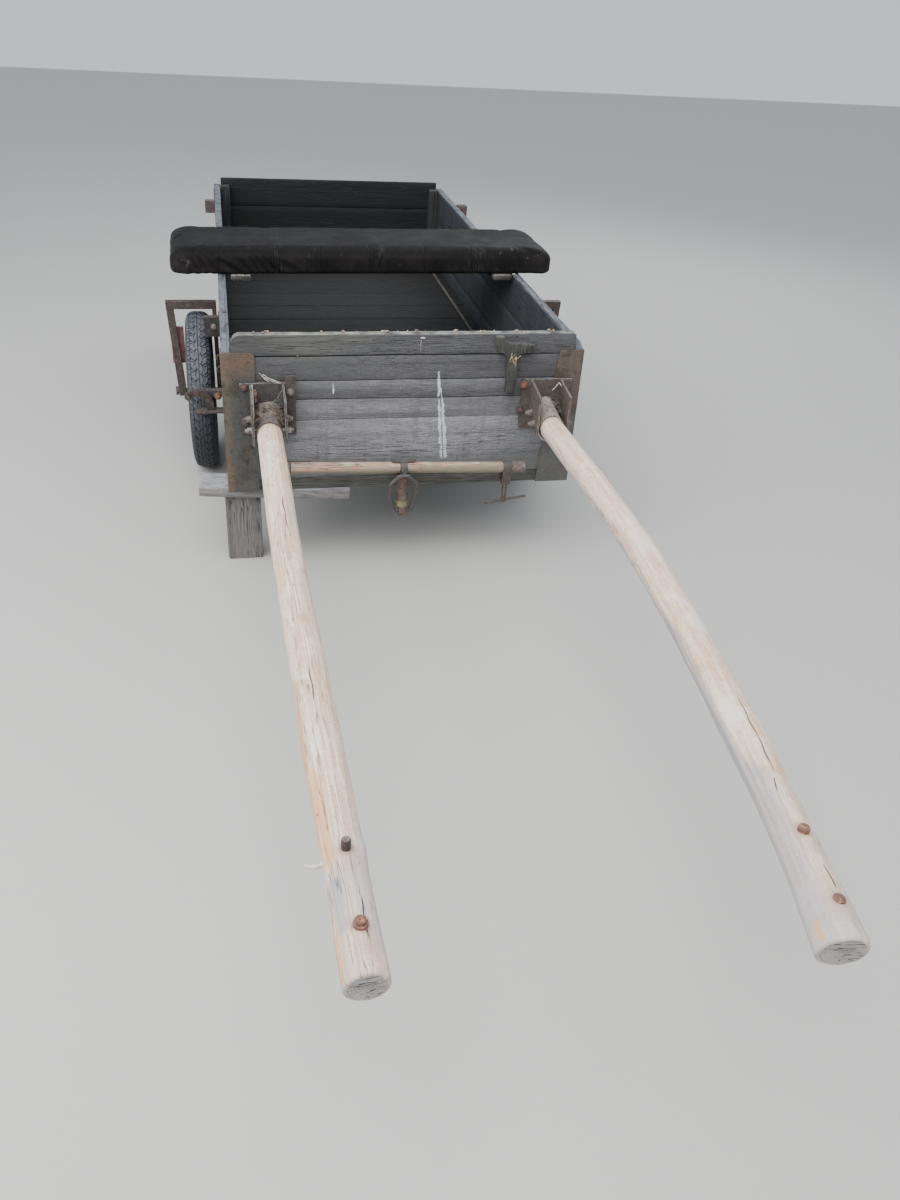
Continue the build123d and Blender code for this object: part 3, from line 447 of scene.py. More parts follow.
def poleWood(name, look):
    material, shader = startMaterial(name, 0.78)
    where = layer("grainSpace", "Vector")
    place = objectSpace()
    grain = use("grain", where, Scale=170.0, Stretch=34.0, Crack=0.014)
    knots = use("knots", where, Scale=11.0, Size=0.055, Share=0.3)
    fibres = stretched(where, (3.2, 90.0, 90.0))
    band = speckle(fibres, 1.0, 5.0, 0.72)
    colour = blend(spread(band, 0.42, 0.58), look["pink"], look["cream"])
    colour = blend(spread(grain["Fine"], 0.42, 0.66, 0.0, 0.55), colour,
        [min(0.95, 1.1 * c) for c in look["cream"]])
    patch = speckle(where, 9.0, 5.0, 0.66)
    colour = blend(spread(patch, 0.54, 0.68, 0.0, 0.6), colour, look["tan"])
    colour = blend(times(grain["Lines"], 0.22), colour, look["dark"])
    flecks = speckle(place, 330.0, 3.0, 0.8)
    colour = blend(spread(flecks, 0.5, 0.66, 0.0, 0.55), colour, look["dark"])
    # painted shade: the side that faces down is greyed, and the shadedFlank strips are blue-grey
    normal = put("NewGeometry").outputs["Normal"]
    up = axis(normal, "Z")
    blotch = speckle(where, 14.0, 5.0)
    colour = blend(times(spread(up, 0.45, -0.5, 0.0, 0.85), spread(blotch, 0.25, 0.6)), colour,
        look["grey"])
    bleached = times(spread(up, 0.3, 0.95), spread(blotch, 0.5, 0.62))
    colour = blend(times(bleached, 0.45), colour, (0.93, 0.88, 0.83))
    flank = layer("shadedFlank")
    colour = blend(times(spread(flank, 0.15, 0.7), spread(band, 0.3, 0.55, 1.0, 0.55)), colour,
        (0.27, 0.29, 0.345))
    mottle = speckle(place, 70.0, 7.0, 0.8)
    colour = blend(spread(mottle, 0.53, 0.66, 0.0, 0.5), colour, (0.5, 0.36, 0.28))
    colour = blend(spread(mottle, 0.46, 0.36, 0.0, 0.35), colour, (0.43, 0.4, 0.38))
    # the ends have weathered more than the rest
    depth = axis(place, 1)
    weathered = spread(depth, *stainAndShadeEdges["poleEnd"])
    colour = blend(times(weathered, spread(blotch, 0.36, 0.6, 0.15, 0.75)), colour,
        (0.5, 0.465, 0.46))
    bare = layer("bareStrip")
    bareTone = blend(spread(band, 0.46, 0.74), look["bare"], look["cream"])
    colour = blend(spread(bare, 0.3, 0.6, 0.0, 0.9), colour, bareTone)
    ring = layer("ringStain")
    colour = blend(times(ring, spread(blotch, 0.2, 0.5, 0.5, 1.0)), colour, (0.46, 0.25, 0.17))
    colour = blend(times(knots["Halo"], 0.42), colour, (0.46, 0.32, 0.21))
    colour = blend(knots["Mask"], colour, (0.13, 0.095, 0.07))
    cut = layer("endGrain")
    endPlace = layer("endSpace", "Vector")
    uneven = speckle(endPlace, 45.0, 5.0)
    away = put("VectorMath", {0: endPlace}, operation="LENGTH").outputs["Value"]
    away = plus(away, times(uneven, 0.014))
    rings = maths("PINGPONG", times(away, 170.0), 0.5)
    endTone = blend(times(rings, 1.6), look["endLight"], look["end"])
    endTone = blend(spread(uneven, 0.4, 0.66, 0.0, 0.7), endTone, (0.5, 0.47, 0.45))
    level = stretched(endPlace, (14.0, 14.0, 75.0))
    checks = speckle(level, 1.0, 2.0)
    checks = spread(absolute(minus(checks, 0.5)), 0.022, 0.006)
    endTone = blend(checks, endTone, (0.11, 0.09, 0.08))
    colour = blend(cut, colour, endTone)
    across = layer("crackAcross")
    depth = layer("crackDepth")
    jag = times(minus(grain["Fine"], 0.5), 0.005)
    away = absolute(plus(across, jag))
    split = times(spread(away, 0.0016, 0.0006), depth)
    slit = larger(times(grain["Cracks"], 0.6), split)
    colour = blend(slit, colour, (0.075, 0.055, 0.045))
    join(colour, shader.inputs["Base Color"])
    join(spread(grain["Fine"], 0.2, 0.8, 0.88, 0.66), shader.inputs["Roughness"])
    height = plus(plus(grain["Fine"], band), times(blotch, 0.8))
    height = minus(height, times(slit, 1.8))
    dent(shader, height, 0.0016)
    return material


# Irons: paint or black scale under rust, bright is the fresh rust on it
ironKeys = ("base", "rust", "bright", "scale", "amount", "rough", "wear", "streaks", "pits")
irons = {name: dict(zip(ironKeys, row)) for name, row in {
    "leftPlateIron": ((0.044, 0.046, 0.043), (0.053, 0.048, 0.039), (0.078, 0.06, 0.042), 13.0,
        0.42, 0.74, 0.3, 0.4, 0.75),
    "rightPlateIron": ((0.078, 0.062, 0.05), (0.08, 0.054, 0.039), (0.125, 0.076, 0.05), 14.0, 0.5,
        0.7, 0.35, 0.3, 0.6),
    "rearIron": ((0.1, 0.1, 0.096), (0.1, 0.08, 0.066), (0.15, 0.1, 0.07), 11.0, 0.45, 0.7, 0.2,
        0.3),
    "bracketIron": ((0.042, 0.04, 0.041), (0.062, 0.053, 0.05), (0.088, 0.066, 0.056), 34.0, 0.45,
        0.8, 0.95, 0.3, 0.5),
    "bracketBrown": ((0.066, 0.056, 0.05), (0.09, 0.072, 0.062), (0.12, 0.088, 0.07), 30.0, 0.5,
        0.8, 0.9, 0.5, 0.7),
    "rightSocketIron": ((0.3, 0.262, 0.235), (0.22, 0.18, 0.155), (0.42, 0.37, 0.33), 42.0, 0.42,
        0.88, 0.3, 0.3, 0.5),
    "strapIron": ((0.056, 0.041, 0.041), (0.072, 0.047, 0.044), (0.1, 0.058, 0.052), 34.0, 0.5,
        0.76, 0.5, 0.2, 0.6),
    "nutDull": ((0.13, 0.118, 0.108), (0.1, 0.076, 0.062), (0.16, 0.11, 0.085), 60.0, 0.5, 0.6,
        0.5, 0.0),
    "stayIron": ((0.022, 0.022, 0.022), (0.034, 0.03, 0.028), (0.06, 0.045, 0.038), 30.0, 0.45,
        0.8, 0.5, 0.2),
    "blackIron": ((0.042, 0.038, 0.037), (0.078, 0.06, 0.052), (0.13, 0.078, 0.05), 30.0, 0.55,
        0.78, 0.5, 0.2),
    "socketIron": ((0.085, 0.075, 0.069), (0.15, 0.122, 0.104), (0.26, 0.215, 0.185), 42.0, 0.6,
        0.85, 0.3, 0.2),
    "nutSteel": ((0.24, 0.23, 0.22), (0.14, 0.11, 0.09), (0.2, 0.12, 0.07), 60.0, 0.45, 0.5, 0.5,
        0.0),
    "orangeBolt": ((0.085, 0.045, 0.033), (0.14, 0.065, 0.042), (0.34, 0.16, 0.09), 70.0, 0.62,
        0.75, 0.5, 0.0),
    "poleBolt": ((0.12, 0.062, 0.046), (0.2, 0.09, 0.06), (0.46, 0.23, 0.15), 70.0, 0.6, 0.75, 0.5,
        0.0),
    "brownBolt": ((0.042, 0.031, 0.028), (0.07, 0.046, 0.037), (0.135, 0.085, 0.06), 70.0, 0.5,
        0.7, 0.5, 0.0),
    "linkIron": ((0.048, 0.045, 0.043), (0.072, 0.062, 0.053), (0.105, 0.092, 0.08), 60.0, 0.5,
        0.66, 0.35, 0.0),
    "drawIron": ((0.09, 0.07, 0.06), (0.13, 0.078, 0.06), (0.18, 0.12, 0.085), 40.0, 0.55, 0.78,
        0.3, 0.2),
    "toggleIron": ((0.05, 0.044, 0.041), (0.075, 0.052, 0.043), (0.13, 0.088, 0.07), 60.0, 0.5,
        0.75, 0.4, 0.0),
    "forkIron": ((0.037, 0.028, 0.026), (0.055, 0.037, 0.031), (0.11, 0.072, 0.059), 28.0, 0.5,
        0.62, 0.4, 0.3),
    "redPlate": ((0.16, 0.07, 0.07), (0.12, 0.068, 0.063), (0.2, 0.12, 0.115), 26.0, 0.45, 0.7,
        0.4, 0.3),
    "wheelSteel": ((0.3, 0.29, 0.28), (0.14, 0.1, 0.08), (0.22, 0.13, 0.08), 34.0, 0.5, 0.5, 0.3,
        0.0),
}.items()}
irons["bracketIron"].update(worn=(0.5, 0.46, 0.42), edge=0.003)
irons["bracketBrown"].update(worn=(0.5, 0.44, 0.39), edge=0.003)


def rustyIron(name, look, metallic=0.0, overlay=None):
    material, shader = startMaterial(name, look["rough"], metallic)
    place = objectSpace()
    rust = use("rust", place, Scale=look["scale"], Amount=look["amount"])
    fresh = use("rust", place, Scale=2.3 * look["scale"], Amount=0.36)
    wear = use("wear", place, Radius=look.get("edge", 0.0025), Scale=110.0)
    dust = use("dust", place, Amount=0.22)
    colour = blend(spread(rust["Tone"], 0.3, 0.7), look["base"], toned(look["base"], 1.35))
    deep = blend(spread(rust["Tone"], 0.35, 0.66), toned(look["rust"], 0.6), look["rust"])
    colour = blend(rust["Mask"], colour, deep)
    colour = blend(times(fresh["Mask"], 0.75), colour, look["bright"])
    if look["streaks"]:
        runs = use("streaks", place, Scale=40.0, Amount=0.45)
        colour = blend(times(runs["Mask"], look["streaks"]), colour, look["rust"])
    if overlay:
        colour = overlay(colour, place)
    if "pits" in look:
        pitted = spread(rust["Pits"], 0.53, 0.64, 0.0, look["pits"])
        colour = blend(pitted, colour, toned(look["base"], 0.35))
        grit = spread(rust["Pits"], 0.44, 0.36, 0.0, 0.5 * look["pits"])
        colour = blend(grit, colour, toned(look["bright"], 1.5))
    worn = look.get("worn", [min(1, 1.5 * c) for c in look["bright"]])
    rubbed = times(wear["Mask"], look["wear"])
    if "edge" in look:
        # only the cheeks and the top edge are rubbed bare
        _, depth, level = put("SeparateXYZ", {0: place}).outputs
        rubbed = times(rubbed, larger(spread(depth, *stainAndShadeEdges["cheekFront"]),
            spread(level, *stainAndShadeEdges["bracketTop"])))
    colour = blend(rubbed, colour, worn)
    colour = blend(dust["Mask"], colour, (0.2, 0.19, 0.175))
    join(colour, shader.inputs["Base Color"])
    join(spread(rust["Mask"], 0.0, 1.0, look["rough"] - 0.12, look["rough"] + 0.12),
        shader.inputs["Roughness"])
    height = plus(times(rust["Mask"], 0.5), times(rust["Pits"], 0.7))
    dent(shader, height, 0.0008, 0.0015)
    return material


def rubber():
    material, shader = startMaterial("tyreRubber", 0.62)
    place = objectSpace()
    dirt = use("rust", place, Scale=26.0, Amount=0.4)
    dust = use("dust", place, Amount=0.55)
    wear = use("wear", place, Radius=0.003, Scale=90.0)
    # painted shade: treadTop is low in the grooves, which are painted near black, and high on the
    # raised tread, which keeps a paler grey
    worn = layer("treadTop")
    bare = blend(spread(dirt["Tone"], 0.3, 0.7), (0.04, 0.046, 0.056), (0.082, 0.092, 0.11))
    colour = blend(worn, (0.008, 0.009, 0.011), bare)
    colour = blend(times(dirt["Mask"], 0.35), colour, (0.05, 0.05, 0.052))
    colour = blend(times(wear["Mask"], 0.3), colour, (0.13, 0.142, 0.165))
    # painted shade: the lower part of the tyre darkened
    level = axis(place, 2)
    lowerShade = spread(level, *stainAndShadeEdges["tyreLowerShade"])
    colour = blend(times(lowerShade, 0.72), colour, (0.011, 0.012, 0.015))
    colour = blend(times(dust["Mask"], worn), colour, (0.14, 0.15, 0.165))
    join(colour, shader.inputs["Base Color"])
    dent(shader, dirt["Pits"], 0.0006)
    return material


# where the cover is gathered in fine pleats, across
pleatsAt = -0.358, 0.0215, 0.401


def leatherette():
    # dark brown seat cover, soft sheen, fine pores and pale scuffs; its colours are darkened
    # further as painted shade, most where it faces up, and the pleats carry painted highlights and
    # shade
    material, shader = startMaterial("seatCover", 0.6)
    shader.inputs["Specular IOR Level"].default_value = 0.1
    place = objectSpace()
    pores = put("TexVoronoi", {"Vector": place, "Scale": 520.0}, feature="DISTANCE_TO_EDGE")
    cloud = speckle(place, 7.0, 5.0, 0.6)
    scuffs = use("rust", place, Scale=42.0, Amount=0.17)
    rubbed = use("wear", place, Radius=0.012, Scale=18.0)
    dust = use("dust", place, Amount=0.18)
    colour = blend(spread(cloud, 0.35, 0.68), (0.0075, 0.0064, 0.0064), (0.019, 0.0165, 0.0163))
    # painted shade: faces that look up are darkened
    facing = axis(put("NewGeometry").outputs["Normal"], 2)
    colour = blend(spread(facing, 0.35, 0.85, 0.0, 0.72), colour, (0.0036, 0.003, 0.003))
    colour = blend(times(rubbed["Mask"], 0.3), colour, (0.024, 0.022, 0.022))
    across = axis(place, 0)
    ends = plus(spread(across, *stainAndShadeEdges["seatRight"], 0.35, 1.0),
        spread(across, *stainAndShadeEdges["seatLeft"], 0.0, 0.8), True)
    colour = blend(times(scuffs["Mask"], ends), colour, (0.085, 0.082, 0.08))
    folds = speckle(stretched(place, (1.0, 0.06, 0.06)), 420.0, 2.0)
    pleated = 0.12
    for middle in pleatsAt:
        away = absolute(minus(across, middle))
        pleated = plus(pleated, spread(away, *stainAndShadeEdges["pleat"], 0.0, 0.75), True)
    # painted highlight on the pleat ridges, then painted shade in their hollows
    colour = blend(times(pleated, spread(folds, 0.54, 0.6)), colour, (0.036, 0.033, 0.033))
    colour = blend(times(pleated, spread(folds, 0.46, 0.4)), colour, (0.003, 0.0028, 0.0028))
    seam = layer("seamLine")
    colour = blend(times(seam, 0.75), colour, (0.004, 0.0037, 0.0037))
    colour = blend(dust["Mask"], colour, (0.015, 0.0135, 0.0135))
    join(colour, shader.inputs["Base Color"])
    join(spread(cloud, 0.3, 0.7, 0.5, 0.66), shader.inputs["Roughness"])
    wrinkle = speckle(place, 60.0, 5.0)
    height = plus(times(spread(pores.outputs["Distance"], 0.0, 0.12), 0.35), wrinkle)
    dent(shader, height, 0.0009)
    return material


def plainMaterial(name, dark, light, scale, roughness):
    # straw, twigs, chips and thread
    material, shader = startMaterial(name, roughness)
    mottle = speckle(objectSpace(), scale, 5.0)
    colour = blend(spread(mottle, 0.35, 0.65), dark, light)
    join(colour, shader.inputs["Base Color"])
    dent(shader, mottle, 0.0005)
    return material


def leftPlateStains(colour, place):
    # orange rust at the top, then dark olive with a rusty left edge
    across, _, level = put("SeparateXYZ", {0: place}).outputs
    mottle = speckle(place, 22.0, 7.0, 0.72)
    height = plus(level, times(mottle, 0.12))
    top = times(spread(height, *stainAndShadeEdges["plateTop"]), spread(mottle, 0.3, 0.5, 0.35, 1.0))
    colour = blend(times(top, 0.85), colour, (0.122, 0.07, 0.043))
    edge = times(spread(across, *stainAndShadeEdges["plateLeft"]), spread(mottle, 0.4, 0.56))
    colour = blend(times(edge, 0.8), colour, (0.12, 0.088, 0.058))
    low = times(spread(across, *stainAndShadeEdges["plateCorner"]),
        spread(level, *stainAndShadeEdges["plateFoot"]))
    return blend(times(low, 0.6), colour, (0.15, 0.085, 0.048))


def rightPlateStains(colour, place):
    level = axis(place, 2)
    mottle = speckle(place, 30.0, 5.0)
    height = plus(level, times(mottle, 0.04))
    below = times(spread(height, *stainAndShadeEdges["rightPlateFoot"]),
        spread(mottle, 0.2, 0.5, 0.7, 1.0))
    return blend(times(below, 0.92), colour, (0.095, 0.096, 0.087))


def toggleStains(colour, place):
    # the ring round the bar is bare grey, what hangs from it is rusty
    level = axis(place, 2)
    return blend(spread(level, *stainAndShadeEdges["toggleRing"], 0.0, 0.85), colour,
        (0.062, 0.057, 0.054))


def tailInsideShade(colour, place):
    # the inner face is painted dark as shade
    depth = axis(place, 1)
    return blend(spread(depth, *stainAndShadeEdges["tailInside"]), colour, (0.055, 0.053, 0.053),
        "MULTIPLY")


def treeStains(colour, place):
    # pink and tan patches, and a green-grey underside
    level = axis(place, 2)
    patch = speckle(stretched(place, (0.25, 1.0, 1.0)), 60.0, 4.0, 0.65)
    colour = blend(spread(patch, 0.47, 0.6, 0.0, 0.75), colour, (0.47, 0.25, 0.165))
    colour = blend(spread(patch, 0.45, 0.36, 0.0, 0.6), colour, (0.4, 0.33, 0.24))
    under = plus(level, times(patch, 0.012))
    return blend(spread(under, *stainAndShadeEdges["treeUnder"], 0.0, 0.8), colour, (0.19, 0.172, 0.12))


def drawStains(colour, place):
    # moss-yellow collar above the eye
    level = axis(place, 2)
    away = absolute(minus(level, eyeCollarLevel))
    return blend(spread(away, *stainAndShadeEdges["eyeCollar"], 0.0, 0.8), colour, (0.2, 0.19, 0.09))


def stayStains(colour, place):
    level = axis(place, 2)
    return blend(spread(level, *stainAndShadeEdges["stayTop"], 0.0, 0.9), colour, (0.085, 0.058, 0.05))


made = {}
boardStainsAndShade = {"front": frontStainsAndShade, "wall": innerWallShadeAndStreaks, "tail": tailInsideShade,
    "tree": treeStains}
for name in ("front", "wall", "tail", "floor", "prop", "batten", "tree", "cleat", "lath"):
    wood = woods["wallWood" if name == "tail" else name + "Wood"]
    made[name] = weatheredWood(name + "Wood", wood, "boardSpace", overlay=boardStainsAndShade.get(name))
made["frameAcross"] = weatheredWood("frameWoodAcross", woods["frameWood"])
made["frameAlong"] = weatheredWood("frameWoodAlong", woods["frameWood"], turn=(0, 0, pi / 2))
made["post"] = weatheredWood("postWood", woods["postWood"], turn=(0, pi / 2, 0))
made["pole"] = poleWood("poleWood", poleLook)
ironStains = {"leftPlateIron": leftPlateStains, "rightPlateIron": rightPlateStains,
    "toggleIron": toggleStains, "drawIron": drawStains, "stayIron": stayStains}
for name, look in irons.items():
    metal = 0.6 if name in ("nutSteel", "wheelSteel") else 0.0
    made[name] = rustyIron(name, look, metal, ironStains.get(name))
made["rubber"] = rubber()
made["seatCover"] = leatherette()
for name, label, dark, light, scale, roughness in (
        ("straw", "dryStraw", (0.26, 0.2, 0.09), (0.6, 0.5, 0.29), 120.0, 0.7),
        ("chip", "paleChip", (0.5, 0.45, 0.38), (0.75, 0.7, 0.62), 120.0, 0.8),
        ("crumb", "paleCrumbs", (0.16, 0.12, 0.09), (0.48, 0.4, 0.32), 120.0, 0.85),
        ("crumbs", "darkCrumbs", (0.06, 0.045, 0.035), (0.24, 0.19, 0.15), 80.0, 0.85),
        ("web", "greyWeb", (0.16, 0.155, 0.145), (0.42, 0.41, 0.39), 140.0, 0.85),
        ("redStalk", "redStalk", (0.2, 0.09, 0.05), (0.55, 0.38, 0.26), 140.0, 0.7)):
    made[name] = plainMaterial(label, dark, light, scale, roughness)
print("materials made:", len(bpy.data.materials))


def waver(x, y, z):
    return noise.noise(Vector((x, y, z)))


def held(*values):
    # kept between nothing and all
    return max(0.0, min(1.0, *values))


def around(angle, turn):
    # the shorter way round from one angle to another
    return atan2(sin(angle - turn), cos(angle - turn))


def finishPiece(name, bm, material, body="cart_body", sharp=None, replaced=None,
        smooth=True):
    # sharp is the angle in degrees beyond which an edge stays crisp
    bmesh.ops.recalc_face_normals(bm, faces=bm.faces)
    mesh = bpy.data.meshes.new(name)
    bm.to_mesh(mesh)
    bm.free()
    piece = bpy.data.objects.new(name, mesh)
    scene.collection.objects.link(piece)
    mesh.materials.append(made[material])
    mesh.shade_smooth() if smooth else mesh.shade_flat()
    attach(piece, body)
    if sharp:
        mesh.set_sharp_from_angle(angle=radians(sharp))
    if replaced:
        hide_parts(replaced)


def skin(bm, rings, start=True, end=True):
    # walls between rings of points, and flat ends
    for first, second in zip(rings, rings[1:]):
        size = len(first)
        for k in range(size):
            bm.faces.new((first[k], first[(k + 1) % size], second[(k + 1) % size], second[k]))
    if start:
        bm.faces.new(rings[0][::-1])
    if end:
        bm.faces.new(rings[-1])


def boardLayers(bm):
    return (bm.verts.layers.float_vector.new("boardSpace"), bm.verts.layers.float.new("boardTone"))


# How a sawn board's section is cut up and worn, in metres and shares
boardShape = {"sideStep": 0.03, "endBand": 0.0012, "endInset": 0.0016, "flatShare": 0.3,
    "chipFrom": 0.35, "chipShare": 3.2, "grainShift": (0.73, 0.31, 0.17)}


def addBoard(bm, layers, low, high, along, seed, tone, wear=0.0015, corner=0.004, step=0.025,
        shape=None):
    # one sawn board: rounded section, worn edges, run along axis 0, 1 or 2
    spaceLayer, toneLayer = layers
    sideways, deep = [way for way in range(3) if way != along]
    halfU = (high[sideways] - low[sideways]) / 2
    halfV = (high[deep] - low[deep]) / 2
    corner = min(corner, 0.45 * min(halfU, halfV))
    section = []
    for quarter, (signU, signV) in enumerate(((1, 1), (-1, 1), (-1, -1), (1, -1))):
        for bit in range(3):
            angle = quarter * pi / 2 + bit * pi / 4
            section.append((signU * (halfU - corner) + corner * cos(angle),
                signV * (halfV - corner) + corner * sin(angle), 1.0))
        nextU, nextV = ((-1, 1), (-1, -1), (1, -1), (1, 1))[quarter]
        startU, startV = section[-1][:2]
        angle = (quarter + 1) * pi / 2
        endU = nextU * (halfU - corner) + corner * cos(angle)
        endV = nextV * (halfV - corner) + corner * sin(angle)
        width = sqrt((endU - startU) ** 2 + (endV - startV) ** 2)
        bits = max(1, int(width / boardShape["sideStep"]))
        for bit in range(1, bits + 1):
            share = bit / (bits + 1)
            section.append((startU + share * (endU - startU), startV + share * (endV - startV),
                boardShape["flatShare"]))
    length = high[along] - low[along]
    count = max(2, int(length / step))
    band = boardShape["endBand"]
    stations = [0.0, band, *[length * i / count for i in range(1, count)], length - band, length]
    shiftX, shiftU, shiftV = [seed * share for share in boardShape["grainShift"]]
    rings = []
    for index, station in enumerate(stations):
        endInset = boardShape["endInset"] if index in (0, len(stations) - 1) else 0.0
        ring = []
        for u, v, share in section:
            reach = sqrt(u * u + v * v)
            rough = waver(station * 9 + seed * 7.3, u * 30, v * 30 + seed)
            chip = max(0.0, waver(station * 30 + seed * 3, u * 60, v * 60)
                - boardShape["chipFrom"])
            inward = (wear * share * (0.5 + 0.5 * rough)
                + boardShape["chipShare"] * wear * share * chip + endInset)
            scaled = max(0.2, (reach - inward) / reach) if reach else 1
            point = [0.0, 0.0, 0.0]
            point[along] = low[along] + station
            point[sideways] = (low[sideways] + high[sideways]) / 2 + u * scaled
            point[deep] = (low[deep] + high[deep]) / 2 + v * scaled
            if shape:
                point = shape(point)
            vertex = bm.verts.new(point)
            vertex[spaceLayer] = Vector((station + shiftX, u + shiftU, v + shiftV))
            vertex[toneLayer] = tone
            ring.append(vertex)
        rings.append(ring)
    skin(bm, rings)


def boardsPiece(name, boards, material, slot, body, replaced, **ways):
    bm = bmesh.new()
    layers = boardLayers(bm)
    for low, high, along, seed, tone in boards:
        addBoard(bm, layers, low, high, along, seed, tone, **ways)
    finishPiece(name, bm, material, body, 40, replaced)


# Front boards from the top down: height of each and how light it is; the darker top boards are
# painted shade and the lighter lower boards painted light
low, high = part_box("front_boards")
frontBoards = {
    "heights": (0.07, 0.079, 0.062, 0.07, 0.229),
    "tones": (0.58, 0.56, 0.9, 1.18, 1.5),
    "joint": 0.0022,
    "fades": {0: 0.36, 3: 0.16},
    "cornerRadius": 0.034,
    "rightCut": 0.007,
}


def roundTopCorners(point):
    # the top board's left corner is worn round, the right one only broken
    x, y, z = point
    radius = frontBoards["cornerRadius"]
    side = low.x + radius - x
    if side > 0:
        top = high.z - radius + sqrt(max(0.0, radius * radius - side * side))
        z = min(z, top)
    z = min(z, high.z - max(0.0, x - (high.x - frontBoards["rightCut"])))
    if z > high.z - 0.02:
        z -= 0.0022 * (0.5 + 0.5 * waver(x * 14, y * 40, 3.0))
    return [x, y, z]


def frontShape(number, foot):
    # joints wander, and two of them close towards the right
    def shape(point):
        x, y, z = roundTopCorners(point) if number == 0 else point
        if number in frontBoards["fades"] and z < foot + 0.002:
            shut = max(0.0, x - frontBoards["fades"][number]) / 0.06
            z -= frontBoards["joint"] * min(1.0, shut)
        calm = held((high.z - 0.01 - z) / 0.03, (z - low.z) / 0.04)
        z += calm * (0.0026 * waver(x * 4, z * 14, 0) + 0.0006 * waver(x * 45, z * 14, 7))
        return [x, y, z]
    return shape


bm = bmesh.new()
layers = boardLayers(bm)
top = high.z
for number, height in enumerate(frontBoards["heights"]):
    foot = top - height if number < 4 else low.z
    gap = frontBoards["joint"] if number < 4 else 0.0
    drop = 0.0 if number == 0 else 0.0006
    addBoard(bm, layers, Vector((low.x, low.y + drop, foot + gap / 2)),
        Vector((high.x, high.y, top - (gap / 2 if number else 0))), 0, 3 + 1.7 * number,
        frontBoards["tones"][number], wear=0.0004 if number else 0.0012,
        corner=0.0012 if number else 0.004, step=0.012, shape=frontShape(number, foot))
    top = foot
finishPiece("frontBoardsWorn", bm, "front", sharp=50, replaced="front_boards")
print("front boards made")

# Side walls: three boards each, the front top corner cut off
wallBoards = {
    "count": 3,
    "joint": 0.001,
    "cut": 0.018,
    "tones": {"left": (0.9, 1.05, 0.98), "right": (0.95, 0.88, 1.06)},
}
for side in ("left", "right"):
    low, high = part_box("side_wall_" + side)
    front, ceiling, cut = low.y, high.z, wallBoards["cut"]

    def cutCorner(point):
        x, y, z = point
        limit = ceiling - max(0.0, cut - (y - front))
        z = min(z, limit)
        if z > ceiling - 0.012:
            z -= 0.003 * (0.5 + 0.5 * waver(x * 20, y * 5, 9.0))
        return [x, y, z]

    bm = bmesh.new()
    layers = boardLayers(bm)
    share = (high.z - low.z) / wallBoards["count"]
    for level in range(wallBoards["count"]):
        top = high.z - level * share
        gap = wallBoards["joint"]
        addBoard(bm, layers, Vector((low.x, low.y, top - share + gap / 2)),
            Vector((high.x, high.y, top - (gap / 2 if level else 0))), 1,
            11 + 2.3 * level + (7 if side == "right" else 0), wallBoards["tones"][side][level],
            wear=0.0006, corner=0.003, step=0.03, shape=cutCorner if level == 0 else None)
    finishPiece("wallBoardsWorn_" + side, bm, "wall", sharp=50,
        replaced="side_wall_" + side)

# Tailboard and floor, half a joint off each board's edges
tailboard = {"count": 3, "halfJoint": 0.0002}
low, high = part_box("tailboard_boards")
share = (high.z - low.z) / tailboard["count"]
gap = tailboard["halfJoint"]
boardsPiece("tailboardWorn",
    [(Vector((low.x, low.y, low.z + level * share + gap)),
      Vector((high.x, high.y, low.z + (level + 1) * share - gap)), 0, 31 + 1.9 * level,
      0.86 + 0.08 * level) for level in range(tailboard["count"])],
    "tail", "wall_boards", "tailboard", "tailboard_boards", step=0.04)
floorBoards = {"count": 12, "halfJoint": 0.0014}
low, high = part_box("floor_boards")
pitch = (high.y - low.y) / floorBoards["count"]
gap = floorBoards["halfJoint"]
chance = Random(5)
boardsPiece("floorBoardsWorn",
    [(Vector((low.x, low.y + number * pitch + gap, low.z)),
      Vector((high.x, low.y + (number + 1) * pitch - gap, high.z - 0.0001)), 0,
      51 + 1.3 * number, chance.uniform(0.7, 1.3)) for number in range(floorBoards["count"])],
    "floor", "floor_wood", "cart_body", "floor_boards", step=0.05)
low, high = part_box("floor_batten")
boardsPiece("floorBattenWorn", [(low, high, 1, 71, 0.6)], "lath", "seat_wood", "cart_body",
    "floor_batten", wear=0.002, step=0.02)

# The seat's board, hidden by the cover but for its underside, and its two battens
plank = {
    "middle": (-0.022, 0.8115, 0),
    "turn": 1.4,
    "half": (0.66, 0.15),
    "level": 0.7803,
    "thickness": 0.01,
}
seatBatten = {
    "half": (0.037, 0.1935),
    "at": (-0.475, 0.519),
    "shift": -0.0035,
    "top": 0.78,
    "thickness": 0.018,
}
seatFrame = Matrix.Translation(plank["middle"]) @ Matrix.Rotation(radians(plank["turn"]), 4, "Z")


def turnedWithSeat(point):
    return list(seatFrame @ Vector(point))


halfX, halfY = plank["half"]
boardsPiece("seatBoardWorn",
    [(Vector((-halfX, -halfY, plank["level"])),
      Vector((halfX, halfY, plank["level"] + plank["thickness"])), 0, 77, 0.8)],
    "batten", "seat_wood", "cart_body", "seat_board", step=0.05, shape=turnedWithSeat)
halfX, halfY = seatBatten["half"]
shift, top = seatBatten["shift"], seatBatten["top"]
boardsPiece("seatBattensWorn",
    [(Vector((x - halfX, shift - halfY, top - seatBatten["thickness"])),
      Vector((x + halfX, shift + halfY, top)), 1, 73 + x, 0.32) for x in seatBatten["at"]],
    "batten", "seat_wood", "cart_body", "seat_battens", wear=0.002, corner=0.007, step=0.02,
    shape=turnedWithSeat)
print("box boards made")

